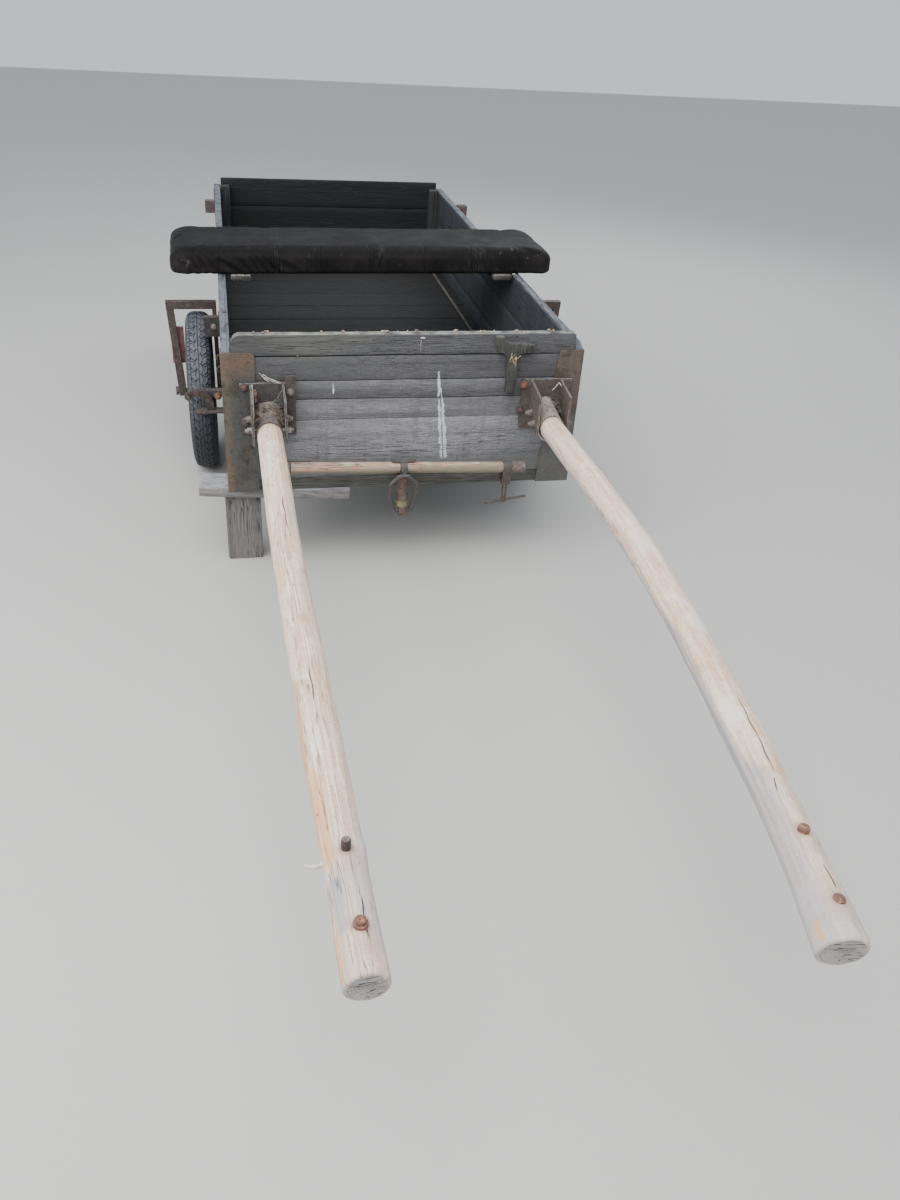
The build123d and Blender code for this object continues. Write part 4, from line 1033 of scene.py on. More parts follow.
# The prop: a plank turned a little, on an upright post with an old groove
propPlank = {
    "corner": (-0.676, -0.1185, 0),
    "length": 0.5,
    "width": 0.118,
    "turn": -7.0,
    "chipFrom": 0.455,
    "chipDepth": 0.01,
}
postGroove = {"in": 0.052, "deep": 0.004, "wide": 0.003}
low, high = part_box("prop_plank")
turned = Matrix.Rotation(radians(propPlank["turn"]), 4, "Z")
start = Vector(propPlank["corner"])


def layPlank(point):
    x, y, z = point
    place = turned @ Vector((x, y, 0))
    chip = 0.0
    if x > propPlank["chipFrom"]:
        share = (x - propPlank["chipFrom"]) / (propPlank["length"] - propPlank["chipFrom"])
        chip = propPlank["chipDepth"] * share * (0.6 + 0.4 * waver(y * 40, z * 30, 2.0))
    edge = turned @ Vector((-chip, 0, 0))
    return [start.x + place.x + edge.x, start.y + place.y + edge.y, z]


bm = bmesh.new()
addBoard(bm, boardLayers(bm), Vector((0, 0, low.z)), Vector((propPlank["length"],
    propPlank["width"], high.z)), 0, 81, 1.05, wear=0.003, corner=0.006, step=0.008,
    shape=layPlank)
finishPiece("propPlankWorn", bm, "prop", sharp=50, replaced="prop_plank")
low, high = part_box("prop_post")
grooveX = low.x + postGroove["in"]


def groovePost(point):
    x, y, z = point
    if y < (low.y + high.y) / 2:
        y += postGroove["deep"] * exp(-((x - grooveX) / postGroove["wide"]) ** 2)
    return [x, y, z]


boardsPiece("propPostWorn", [(low, high, 2, 83, 0.9)], "prop", "prop_wood", "cart_body",
    "prop_post", wear=0.003, corner=0.006, step=0.01, shape=groovePost)
print("prop made")

# Poles: distance before the front boards, across, level of the axis, radius, all in metres
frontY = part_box("front_boards")[0].y
# grey lists the strips on each pole that are painted with blue-grey shade
poles = {
    "left": {
        "route": [(0.1, -0.4425, 0.535, 0.0385), (0.22, -0.4418, 0.5317, 0.0392),
            (0.45, -0.4398, 0.5253, 0.04), (0.64, -0.439, 0.52, 0.0386),
            (0.8, -0.4362, 0.5156, 0.0392), (1.0, -0.4315, 0.5101, 0.0398),
            (1.3, -0.4222, 0.5018, 0.0402), (1.52, -0.4157, 0.4957, 0.0408),
            (1.7, -0.4104, 0.4907, 0.0402), (1.9, -0.4044, 0.4851, 0.0386),
            (2.05, -0.4, 0.481, 0.0398)],
        "bumps": [(1.79, 2.6, 0.02, 0.004), (0.62, 0.9, 0.05, 0.003), (1.22, 1.9, 0.03, 0.0025),
            (1.5, 0.5, 0.06, 0.003)],
        "cracks": [(0.55, 0.75, 1.7, 1.8), (1.3, 1.42, 1.5, 1.45), (1.9, 1.99, 1.9, 1.85)],
        "bare": [(1.38, 1.6, 0.35, 0.01), (1.57, 1.835, 0.62, 0.02), (1.9, 2.05, 0.15, 0.014)],
        "grey": [(1.84, 1.97, 0.7, 0.022)],
        "lean": 0.002,
        "seed": 4.0,
    },
    "right": {
        "route": [(0.1, 0.463, 0.535, 0.0385), (0.3, 0.4736, 0.5295, 0.0393),
            (0.5, 0.484, 0.5239, 0.0398), (0.68, 0.4905, 0.5189, 0.0393),
            (0.833, 0.4925, 0.5147, 0.04), (1.0, 0.4892, 0.5101, 0.0404),
            (1.2, 0.479, 0.5045, 0.0398), (1.4, 0.4652, 0.499, 0.0402),
            (1.56, 0.45, 0.4945, 0.0404), (1.75, 0.433, 0.4893, 0.04), (1.9, 0.4147, 0.4851, 0.04),
            (2.02, 0.3975, 0.482, 0.0438), (2.106, 0.383, 0.4795, 0.0462)],
        "bumps": [(0.86, 2.2, 0.05, 0.003), (1.33, 0.8, 0.05, 0.003), (1.62, 2.7, 0.06, 0.003),
            (1.95, 1.2, 0.03, 0.002)],
        "cracks": [(1.5, 1.736, 1.75, 1.605), (1.743, 1.78, 1.43, 1.3),
            (1.955, 2.012, 1.79, 1.81)],
        "bare": [(2.055, 2.1, 0.5, 0.008)],
        "grey": [(1.62, 2.2, 0.28, 0.04), (1.1, 1.75, -0.05, 0.02)],
        "lean": 0.006,
        "seed": 9.0,
    },
}


def smoothRoute(stations, count):
    # Catmull-Rom through the stations
    rows = [Vector(row) for row in stations]
    rows = [2 * rows[0] - rows[1]] + rows + [2 * rows[-1] - rows[-2]]
    result = []
    for i in range(count + 1):
        spot = i / count * (len(rows) - 3)
        part = min(int(spot), len(rows) - 4)
        t = spot - part
        a, b, c, d = rows[part:part + 4]
        square = 2 * a - 5 * b + 4 * c - d
        cube = 3 * b - a - 3 * c + d
        result.append(0.5 * (2 * b + (c - a) * t + square * t * t + cube * t * t * t))
    return result


# What a pole's points carry besides the place along the grain: end grain, the stain round a
# bolt, how far from a crack and how deep it is, bare wood, and painted shade on a flank
poleLayers = "endGrain", "ringStain", "crackAcross", "crackDepth", "bareStrip", "shadedFlank"
poleShape = {
    "sides": 64,
    "rings": 300,
    "rim": 0.007,
    "rimShares": (0.35, 0.65, 0.85, 1.0),
    "lump": 0.035,
    "ripple": 0.008,
    "crackMargin": 0.02,
    "leanFrom": 0.03,
    "grainWidth": 0.04,
    "stainRing": (0.008, 0.011),
    "washShift": (0.004, -0.03, 0),
    "washSize": (0.016, 0.026),
    "capShares": (0.96, 0.75, 0.5, 0.25),
}


def poleCrack(pole, along, angle, radius):
    across, depth = 1.0, 0.0
    margin = poleShape["crackMargin"]
    for first, last, turnFirst, turnLast in pole["cracks"]:
        if first - margin < along < last + margin:
            share = (along - first) / (last - first)
            middle = turnFirst + share * (turnLast - turnFirst) + 0.03 * sin(along * 70)
            across = around(angle, middle) * radius
            depth = held(share * 6, (1 - share) * 6)
    return across, depth


def poleShade(strips, along, angle, radius):
    # how bare the wood is, or how much painted shade lies on it, strongest along the middle of a
    # strip
    shade = 0.0
    for first, last, turn, wide in strips:
        share = (along - first) / (last - first)
        if 0 < share < 1:
            gap = around(angle, turn) * radius
            shade = max(shade, exp(-(gap / wide) ** 2) * min(1, share * 5, (1 - share) * 12))
    return shade


def boltStain(side, skinPoint):
    # a ring round each bolt, and what the rain washed down from it
    stain = 0.0
    middle, wide = poleShape["stainRing"]
    washX, washY = poleShape["washSize"]
    for spot in shaftTips[side]:
        away = (skinPoint - Vector(spot)).length
        stain = max(stain, 0.8 * exp(-((away - middle) / wide) ** 2))
        wash = skinPoint - Vector(spot) - Vector(poleShape["washShift"])
        stain = max(stain, 0.4 * exp(-(wash.x / washX) ** 2 - (wash.y / washY) ** 2))
    return stain


def makePole(side, pole):
    sides, rim = poleShape["sides"], poleShape["rim"]
    route = smoothRoute([Vector(row) for row in pole["route"]], poleShape["rings"])
    # closer stations round the worn rim
    route[-1:] = [route[-2].lerp(route[-1], share) for share in poleShape["rimShares"]]
    count = len(route) - 1
    bm = bmesh.new()
    space = bm.verts.layers.float_vector.new("grainSpace")
    endSpace = bm.verts.layers.float_vector.new("endSpace")
    marks = {name: bm.verts.layers.float.new(name) for name in poleLayers}
    rings = []
    length = 0.0
    total = route[-1][0]
    for i, (along, across, level, radius) in enumerate(route):
        centre = Vector((across, frontY - along, level))
        if i:
            length += (centre - before).length
        before = centre
        j = min(max(i, 1), count - 1)
        way = Vector((route[j + 1][1] - route[j - 1][1], route[j - 1][0] - route[j + 1][0],
            route[j + 1][2] - route[j - 1][2])).normalized()
        right = way.cross(Vector((0, 0, 1))).normalized()
        above = right.cross(way)
        left = max(0.0, total - along)
        ring = []
        for k in range(sides):
            angle = 2 * pi * k / sides
            outward = right * cos(angle) + above * sin(angle)
            lump = waver(length * 4 + pole["seed"], cos(angle), sin(angle))
            fine = waver(length * 22, 3 * cos(angle), 3 * sin(angle) + 5)
            reach = radius * (1 + poleShape["lump"] * lump + poleShape["ripple"] * fine)
            for place, turn, size, tall in pole["bumps"]:
                gap = around(angle, turn) * radius
                reach += tall * exp(-((along - place) ** 2 + gap * gap) / (size * size))
            if left < rim:
                reach -= rim - sqrt(rim * rim - (rim - left) ** 2)
            point = centre + outward * reach
            if left < poleShape["leanFrom"]:
                point.y -= pole["lean"] * sin(angle) * (1 - left / poleShape["leanFrom"])
            vertex = bm.verts.new(point)
            vertex[space] = Vector((length, cos(angle) * poleShape["grainWidth"] + pole["seed"],
                sin(angle) * poleShape["grainWidth"]))
            vertex[endSpace] = point - centre
            values = (0.0, boltStain(side, centre + outward * radius),
                *poleCrack(pole, along, angle, radius),
                poleShade(pole["bare"], along, angle, radius),
                poleShade(pole["grey"], along, angle, radius))
            for mark, value in zip(marks.values(), values):
                vertex[mark] = value
            ring.append(vertex)
        rings.append(ring)
    skin(bm, rings, end=False)
    # the sawn end, a little dished and rough
    last = rings[-1]
    middle = sum((vertex.co for vertex in last), Vector()) / sides
    outer = last
    for share in poleShape["capShares"]:
        ring = []
        for vertex in last:
            point = middle.lerp(vertex.co, share)
            point.y += 0.0015 * (0.5 + 0.5 * noise.noise(point * 90)) * (1.3 - share)
            inner = bm.verts.new(point)
            inner[space] = vertex[space]
            inner[endSpace] = point - centre
            inner[marks["endGrain"]] = inner[marks["crackAcross"]] = 1.0
            ring.append(inner)
        skin(bm, (outer, ring), False, False)
        outer = ring
    bm.faces.new(outer)
    finishPiece("poleWood_" + side, bm, "pole", replaced="shaft_" + side)


shaftTips = {
    "left": [(-0.4048, -1.962, 0.527), (-0.3999, -2.121, 0.521)],
    "right": [(0.419, -2.038, 0.524), (0.402, -2.194, 0.52)],
}
for side in ("left", "right"):
    makePole(side, poles[side])
print("poles made")


def ringOf(bm, centre, way, radius, sides, turn=0.0):
    side = way.orthogonal().normalized()
    other = way.cross(side)
    angles = [turn + 2 * pi * k / sides for k in range(sides)]
    return [bm.verts.new(centre + (side * cos(angle) + other * sin(angle)) * radius)
        for angle in angles]


# How far along a peg and how wide, as shares of its length and radius
pegSteps = {
    "flat": ((0.0, 1.0), (0.75, 1.0), (0.93, 0.94), (1.0, 0.82)),
    "domed": ((0.0, 1.0), (0.75, 1.0), (0.93, 0.86), (1.0, 0.6)),
}


def addRound(bm, centre, way, radius, length, sides=12, dome=0.0):
    # a peg or head along a direction, its far end domed
    centre, way = Vector(centre), Vector(way).normalized()
    rings = [ringOf(bm, centre + way * length * along, way, radius * share, sides)
        for along, share in pegSteps["domed" if dome else "flat"]]
    skin(bm, rings, end=not dome)
    if dome:
        tip = bm.verts.new(centre + way * (length + dome))
        for k in range(sides):
            bm.faces.new((rings[-1][k], rings[-1][(k + 1) % sides], tip))


# A nut's washer, flats and thread, as shares of its radius
nutShares = {
    "washer": (1.25, 0.22),
    "flats": ((0.2, 0.96), (0.3, 1.0), (0.95, 1.0), (1.05, 0.9)),
    "thread": (0.5, 1.05),
}


def addNut(bm, centre, way, radius, turn=0.0, thread=0.006):
    wide, thick = nutShares["washer"]
    addRound(bm, centre, way, radius * wide, radius * thick, 20)
    ahead = Vector(way).normalized()
    skin(bm, [ringOf(bm, Vector(centre) + ahead * radius * tall, ahead, radius * share, 6, turn)
        for tall, share in nutShares["flats"]])
    wide, tall = nutShares["thread"]
    addRound(bm, centre, way, radius * wide, radius * tall + thread, 14)


def roundsPiece(name, rows, material, slot="bolt_steel", **ways):
    bm = bmesh.new()
    for centre, way, radius, length in rows:
        addRound(bm, centre, way, radius, length, **ways)
    finishPiece(name, bm, material, sharp=38)


def nutsPiece(name, rows, material, slot="bolt_steel", **ways):
    bm = bmesh.new()
    for centre, way, radius, turn in rows:
        addNut(bm, centre, way, radius, turn, **ways)
    finishPiece(name, bm, material, sharp=30)


# Bolts through the pole ends: a tall stud, and three low ones with a smaller head on top
up = Vector((0.0, -0.02, 1.0)).normalized()
poleBolts = {
    "foot": [("left", 0, 0.0088, 0.028), ("left", 1, 0.013, 0.014), ("right", 0, 0.0112, 0.017),
        ("right", 1, 0.0116, 0.015)],
    "head": [("left", 1, 0.0098, 0.013, 0.009), ("right", 0, 0.0062, 0.0165, 0.002),
        ("right", 1, 0.0064, 0.0145, 0.002)],
}
sunk = 0.006
for name, rows, finish in (("poleStudFoot", poleBolts["foot"][:1], "brownBolt"),
        ("poleBoltFeet", poleBolts["foot"][1:], "poleBolt")):
    roundsPiece(name, [(Vector(shaftTips[side][number]) - up * sunk, up, radius, tall)
        for side, number, radius, tall in rows], finish, sides=16)
roundsPiece("poleBoltHeads",
    [(Vector(shaftTips[side][number]) + up * (start - sunk), up, radius, tall)
     for side, number, radius, start, tall in poleBolts["head"]],
    "poleBolt", sides=16, dome=0.002)
spot = Vector(shaftTips["left"][0])
roundsPiece("poleStudTop", [(spot + up * 0.0215, up, 0.0066, 0.0012)], "nutSteel", sides=14)

# Nuts and bolts on the bracket plates, on the plate's front face
bracketNuts = {
    "left": [(-0.5121, 0.6549, "brownBolt"), (-0.3713, 0.6394, "nutDull"),
        (-0.512, 0.5418, "strapIron"), (-0.3713, 0.5519, "strapIron")],
    "right": [(0.3842, 0.6483, "orangeBolt"), (0.533, 0.64, "strapIron"),
        (0.3796, 0.5615, "strapIron"), (0.533, 0.54, "brownBolt")],
}
for side, spots in bracketNuts.items():
    plateFront = frontY - 0.0103
    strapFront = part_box("bracket_strap")[0].y
    for number, (x, z, finish) in enumerate(spots):
        seatY = strapFront if side == "left" and x > -0.4 else plateFront
        nutsPiece("bracketNut_%s%d" % (side, number + 1), [((x, seatY, z), (0, -1, 0), 0.0105,
            0.3 * number)], finish)
print("bolts made")

# Whippletree: a round bar, plain where its saddle sits, its underside darker
tree = {"middle": (-0.017, -0.2335, 0.397), "half": 0.364, "radius": 0.0185, "tilt": 1.8}
bm = bmesh.new()
space, toneLayer = boardLayers(bm)
tilt = Matrix.Rotation(radians(tree["tilt"]), 3, "Y")
rings = []
for i in range(181):
    along = -tree["half"] + 2 * tree["half"] * i / 180
    ring = []
    for k in range(32):
        angle = 2 * pi * k / 32
        lump = waver(along * 9, cos(angle), sin(angle) + 4)
        reach = tree["radius"] * (0.985 + 0.015 * lump)
        if abs(along) < 0.014:
            reach = tree["radius"] * 0.985
        local = Vector((along, cos(angle) * reach, sin(angle) * reach))
        vertex = bm.verts.new(Vector(tree["middle"]) + tilt @ local)
        vertex[space] = Vector((along + 5, cos(angle) * 0.02, sin(angle) * 0.02))
        vertex[toneLayer] = 1.0 if sin(angle) > -0.2 else 0.62
        ring.append(vertex)
    rings.append(ring)
skin(bm, rings)
finishPiece("whippletreeBar", bm, "tree", "whippletree", replaced="whippletree")
print("whippletree made")

# Rein cleat: the sawn fork, its edges worn round
cleat = {
    "x": 0.344,
    "top": 0.78,
    "outline": [(-0.021, -0.157), (-0.0245, -0.06), (-0.025, -0.037), (-0.043, -0.022),
        (-0.06, -0.014), (-0.0675, 0.008), (-0.067, 0.031), (-0.042, 0.031), (-0.038, 0.02),
        (-0.022, 0.0125), (-0.006, 0.01), (0.01, 0.0095), (0.024, 0.011), (0.042, 0.007),
        (0.059, 0.005), (0.056, -0.006), (0.051, -0.016), (0.036, -0.02), (0.023, -0.021),
        (0.014, -0.027), (0.008, -0.032), (0.0095, -0.09), (0.011, -0.157)],
}
low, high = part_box("rein_cleat")
bm = bmesh.new()
space, toneLayer = boardLayers(bm)
middle = Vector((0.0, -0.03))
rings = []
for depth, inset in ((high.y, 0.0), (low.y + 0.004, 0.0), (low.y + 0.0012, 0.0018),
        (low.y, 0.0045)):
    ring = []
    for x, z in cleat["outline"]:
        away = Vector((x, z)) - middle
        pulled = away * (1 - inset / max(away.length, 0.02))
        vertex = bm.verts.new((cleat["x"] + middle.x + pulled.x, depth,
            cleat["top"] + middle.y + pulled.y))
        vertex[space] = Vector((z, x, depth))
        vertex[toneLayer] = 1.0
        ring.append(vertex)
    rings.append(ring)
skin(bm, rings)
finishPiece("reinCleatWorn", bm, "cleat", sharp=45, replaced="rein_cleat")
print("cleat made")

# Tyres: a carcass of one section turned round the axle, and rows of cut tread on it
tyre = {
    "section": [(0.0274, 0.2035), (0.0276, 0.214), (0.036, 0.224), (0.044, 0.235), (0.0475, 0.248),
        (0.0472, 0.26), (0.0455, 0.272), (0.0415, 0.2822), (0.0345, 0.29), (0.025, 0.2946),
        (0.0125, 0.2968), (0.0, 0.2975)],
    "turns": 120,
    "pitches": 50,
    "tall": 0.0043,
    "groove": 0.0012,
    "top": 0.3019,
    "sunk": 0.003,
}


def crownRadius(offset):
    rows = tyre["section"][5:]
    for (x0, r0), (x1, r1) in zip(rows, rows[1:]):
        if x1 <= abs(offset) <= x0:
            return r1 + (r0 - r1) * (abs(offset) - x1) / (x0 - x1)
    return rows[0][1]


def addTreadBlock(bm, topLayer, place, angle, step, outline):
    # outline rows are shares of one pitch round the tyre, and metres across it
    centreTurn = sum(a for a, b in outline) / len(outline)
    centreSide = sum(b for a, b in outline) / len(outline)
    rings = []
    for tall, grow, top in ((-tyre["sunk"], 1.0, 0.0), (tyre["tall"] * 0.85, 1.0, 0.7),
            (tyre["tall"], 0.95, 1.0)):
        ring = []
        for a, b in outline:
            turn = angle + step * (centreTurn + (a - centreTurn) * grow)
            offset = centreSide + (b - centreSide) * grow
            radius = min(crownRadius(offset) + tall, tyre["top"])
            vertex = bm.verts.new(place @ Vector((offset, radius * sin(turn), radius * cos(turn))))
            vertex[topLayer] = top
            ring.append(vertex)
        rings.append(ring)
    skin(bm, rings, start=False)


def treadRows(sign, groove):
    # inner rib, zigzag blocks and shoulder bars of one pitch on one side
    inner = [(0.02, 0.0014), (0.98, 0.0014), (0.98, 0.008 - groove), (0.74, 0.0118 - groove),
        (0.5, 0.0158 - groove), (0.26, 0.0118 - groove), (0.02, 0.008 - groove)]
    middle = [(0.08, 0.008 + groove), (0.3, 0.0118 + groove), (0.5, 0.0158 + groove),
        (0.72, 0.0118 + groove), (0.86, 0.015), (0.66, 0.0215), (0.8, 0.029), (0.3, 0.029),
        (0.06, 0.0225), (-0.04, 0.016)]
    wedge = [(0.95, 0.0105), (1.06, 0.0085), (1.0, 0.0135), (0.9, 0.02), (1.02, 0.029),
        (0.9, 0.029), (0.76, 0.0215), (0.9, 0.015)]
    bars = [[(start + 0.03, 0.0308), (start + 0.43, 0.0308), (start + 0.5, 0.0395),
        (start + 0.12, 0.0395)] for start in (0.0, 0.5)]
    return [[(a, sign * b) for a, b in row] for row in [inner, middle, wedge] + bars]


for side in ("left", "right"):
    low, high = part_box("tyre_" + side)
    place = Matrix.Translation((low + high) / 2)
    bm = bmesh.new()
    topLayer = bm.verts.layers.float.new("treadTop")
    profile = tyre["section"] + [(-x, r) for x, r in reversed(tyre["section"][:-1])]
    rings = []
    for turn in range(tyre["turns"]):
        angle = 2 * pi * turn / tyre["turns"]
        ring = []
        for x, r in profile:
            vertex = bm.verts.new(place @ Vector((x, r * sin(angle), r * cos(angle))))
            vertex[topLayer] = 0.4 if r < 0.285 else 0.0
            ring.append(vertex)
        rings.append(ring)
    skin(bm, rings + rings[:1], False, False)
    step = 2 * pi / tyre["pitches"]
    for number in range(tyre["pitches"]):
        for sign, shift in ((1, 0.0), (-1, 0.5)):
            for outline in treadRows(sign, tyre["groove"]):
                addTreadBlock(bm, topLayer, place, step * (number + shift), step, outline)
    finishPiece("tyreTread_" + side, bm, "rubber", "wheel_" + side, 32, "tyre_" + side)
print("tyres made")

# Seat: stuffed by simulation, its cover drawn down over the board's edges. Seams are places
# along the seat and how many rows are sewn there
seat = {
    "halfLength": 0.727,
    "halfDepth": 0.204,
    "foot": 0.7806,
    "top": 0.8735,
    "voxel": 0.008,
    "pressure": 4.0,
    "frames": 20,
    "cap": 0.012,
    "shrink": 0.009,
    "endShrink": -0.006,
    "crown": 0.005,
    "seams": [(-0.548, 1), (-0.358, 3), (-0.179, 1), (0.0215, 3), (0.2095, 1), (0.401, 3),
        (0.589, 1)],
}


def seatForm():
    bm = bmesh.new()
    inset = seat["shrink"]
    tall = seat["top"] - seat["foot"] - inset
    size = (2 * (seat["halfLength"] - seat["endShrink"]), 2 * (seat["halfDepth"] - inset), tall, 1)
    middle = Matrix.Translation((0, 0, seat["foot"] + tall / 2))
    bmesh.ops.create_cube(bm, size=1.0, matrix=middle @ Matrix.Diagonal(size))
    upright = [edge for edge in bm.edges if abs(edge.verts[0].co.z - edge.verts[1].co.z) > 0.01]
    bmesh.ops.bevel(bm, geom=upright, offset=0.045, segments=6, profile=0.5, affect="EDGES")
    for level, offset, parts in ((seat["foot"] + tall, 0.027, 6), (seat["foot"], 0.012, 3)):
        rim = [edge for edge in bm.edges
            if all(abs(vertex.co.z - level) < 0.0005 for vertex in edge.verts)
            and any(abs(face.normal.z) < 0.5 for face in edge.link_faces)]
        bmesh.ops.bevel(bm, geom=rim, offset=offset, segments=parts, profile=0.5, affect="EDGES")
    mesh = bpy.data.meshes.new("seatCushionCover")
    bm.to_mesh(mesh)
    bm.free()
    piece = bpy.data.objects.new("seatCushionCover", mesh)
    scene.collection.objects.link(piece)
    return piece


def stuffSeat(piece):
    piece.data.remesh_voxel_size = seat["voxel"]
    bpy.context.view_layer.objects.active = piece
    piece.select_set(True)
    bpy.ops.object.voxel_remesh()
    rest = [vertex.co.copy() for vertex in piece.data.vertices]
    cloth = piece.modifiers.new("stuffing", "CLOTH")
    cloth.settings.use_pressure = True
    cloth.settings.uniform_pressure_force = seat["pressure"]
    cloth.settings.effector_weights.gravity = 0.0
    cloth.settings.tension_stiffness = 20
    cloth.settings.bending_stiffness = 1.5
    cloth.settings.quality = 5
    for step in range(1, seat["frames"] + 1):
        scene.frame_set(step)
    graph = bpy.context.evaluated_depsgraph_get()
    swollen = bpy.data.meshes.new_from_object(piece.evaluated_get(graph))
    piece.modifiers.remove(cloth)
    scene.frame_set(1)
    for vertex, start, moved in zip(piece.data.vertices, rest, swollen.vertices):
        shift = moved.co - start
        if shift.length > seat["cap"]:
            shift = shift.normalized() * seat["cap"]
        vertex.co = start + shift
    bpy.data.meshes.remove(swollen)


# How the cover is sewn, dipped, gathered and creased, in metres
sewing = {
    "rowGap": 0.012,
    "bend": 0.006,
    "pullWidth": 0.0048,
    "lineWidth": 0.0026,
    "padWidth": 0.02,
    "dip": 0.0019,
    "lump": 0.0022,
    "crease": 0.0012,
    "fold": 0.0055,
    "frontCrease": 0.0015,
    "frontDip": 0.0012,
    "endDrop": 0.01,
    "endPucker": 0.004,
}


def sewSeat(piece):
    mesh = piece.data
    seamLine = mesh.attributes.new("seamLine", "FLOAT", "POINT")
    top, foot = seat["top"], seat["foot"]
    for index, vertex in enumerate(mesh.vertices):
        x, y, z = vertex.co
        pull = line = 0.0
        for middle, count in seat["seams"]:
            rows = (0.0,) if count == 1 else (-sewing["rowGap"], 0.0, sewing["rowGap"])
            bend = sewing["bend"] * sin(y * 9 + middle * 9)
            for row in rows:
                away = abs(x - middle - row - bend)
                pull = max(pull, exp(-(away / sewing["pullWidth"]) ** 2))
                line = max(line, exp(-(away / sewing["lineWidth"]) ** 2))
            pull += 0.2 * exp(-((x - middle) / sewing["padWidth"]) ** 2)
        onTop = held((z - foot - 0.01) / 0.02)
        across = y / seat["halfDepth"]
        along = x / seat["halfLength"]
        lump = waver(x * 6, y * 12, 2.0)
        crease = waver(x * 38 + 9 * y, y * 20, 5.0)
        front = max(0.0, -across - 0.55) / 0.45
        # gathers at the lower front, strongest at the left end
        leftward = held((-along - 0.15) / 0.5)
        fold = sin(x * 150 + z * 120 + 2.5 * sin(x * 31))
        low = held((top - 0.012 - z) / 0.03)
        sag = (seat["crown"] * across * across
            + sewing["endDrop"] * max(0.0, abs(along) - 0.9) / 0.1)
        dip = min(pull, 1.2)
        vertex.co.z = (z - onTop * (sag + sewing["dip"] * dip - sewing["lump"] * lump)
            + onTop * sewing["crease"] * crease * leftward)
        vertex.co.y = y + front * (sewing["fold"] * leftward * low * fold
            + sewing["frontCrease"] * crease + sewing["frontDip"] * dip)
        edge = max(0.0, abs(along) - 0.93) / 0.07
        pucker = sewing["endPucker"] * edge * (0.5 + 0.5 * sin(y * 60))
        vertex.co.x = x - pucker * (1 if x > 0 else -1) * low
        seamLine.data[index].value = min(1.0, line) * onTop
    for vertex in mesh.vertices:
        vertex.co.x = min(max(vertex.co.x, -seat["halfLength"]), seat["halfLength"])
        vertex.co.y = min(max(vertex.co.y, -seat["halfDepth"]), seat["halfDepth"])
        vertex.co.z = min(max(vertex.co.z, foot), top)
    mesh.transform(seatFrame)


cushion = seatForm()
stuffSeat(cushion)
sub = cushion.modifiers.new("smoother", "SUBSURF")
sub.levels = sub.render_levels = 1
graph = bpy.context.evaluated_depsgraph_get()
finer = bpy.data.meshes.new_from_object(cushion.evaluated_get(graph))
cushion.modifiers.remove(sub)
cushion.data = finer
sewSeat(cushion)
cushion.data.materials.clear()
cushion.data.materials.append(made["seatCover"])
cushion.data.shade_smooth()
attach(cushion, "cart_body")
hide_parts("seat_cushion")
print("seat made")


# Straw, stalks and chips caught on the cart, and small nails and nuts


def addStrand(bm, points, radius, sides=5, tip=0.5):
    # a thin stalk through some points, thinner at its far end
    rings = []
    for i, point in enumerate(points):
        after, before = points[min(len(points) - 1, i + 1)], points[max(0, i - 1)]
        way = (Vector(after) - Vector(before)).normalized()
        size = radius * (1 - (1 - tip) * i / (len(points) - 1))
        rings.append(ringOf(bm, Vector(point), way, size, sides))
    skin(bm, rings)


def addChip(bm, centre, size, thick, chance, flat=True):
    # a ragged flake, lying down or stuck upright on a front
    count = 7
    turn = chance.uniform(0, 2 * pi)
    lower, upper = [], []
    for k in range(count):
        reach = size * chance.uniform(0.55, 1.0)
        a = reach * cos(turn + 2 * pi * k / count) * 1.4
        b = reach * sin(turn + 2 * pi * k / count) * 0.7
        lift = thick * chance.uniform(0.7, 1.3)
        if flat:
            lower.append(bm.verts.new(Vector(centre) + Vector((a, b, 0))))
            upper.append(bm.verts.new(Vector(centre) + Vector((a * 0.8, b * 0.8, lift))))
        else:
            lower.append(bm.verts.new(Vector(centre) + Vector((a, 0, b))))
            upper.append(bm.verts.new(Vector(centre) + Vector((a * 0.8, -lift, b * 0.8))))
    for k in range(count):
        after = (k + 1) % count
        bm.faces.new((lower[k], lower[after], upper[after], upper[k]))
    bm.faces.new(upper)
    bm.faces.new(lower[::-1])


# the sockets' axis: across, level at the collar, how it rises towards the boards
socketAxis = {"left": -0.4425, "right": 0.463, "level": 0.535, "rise": 0.33, "collar": 0.1}


def onSocket(side, along, angle, reach):
    level = socketAxis["level"] + (socketAxis["collar"] - along) * socketAxis["rise"]
    return Vector((socketAxis[side] + reach * cos(angle), frontY - along,
        level + reach * sin(angle)))


def addStrands(bm, rows):
    # radius and thinning, then places: across, before the front boards and up
    for radius, tip, *spots in rows:
        addStrand(bm, [(x, frontY - out, z) for x, out, z in spots], radius, tip=tip)


edgeCrumbs = {
    "at": (-0.436, -0.273, -0.199, -0.066, 0.028, 0.14, 0.25, 0.352, 0.475),
    "small": 16,
    "depth": -0.144,
    "level": 0.8178,
}
chance = Random(12)
bm = bmesh.new()
for x in edgeCrumbs["at"]:
    for _ in range(chance.randint(1, 3)):
        addChip(bm, (x + chance.uniform(-0.02, 0.02),
            edgeCrumbs["depth"] + chance.uniform(-0.008, 0.006), edgeCrumbs["level"]),
            chance.uniform(0.004, 0.008), 0.005, chance)
for _ in range(edgeCrumbs["small"]):
    addChip(bm, (chance.uniform(-0.5, 0.54), edgeCrumbs["depth"] + chance.uniform(-0.009, 0.008),
        edgeCrumbs["level"]), chance.uniform(0.0015, 0.003), 0.003, chance)
finishPiece("edgeCrumbs", bm, "crumb", smooth=False)

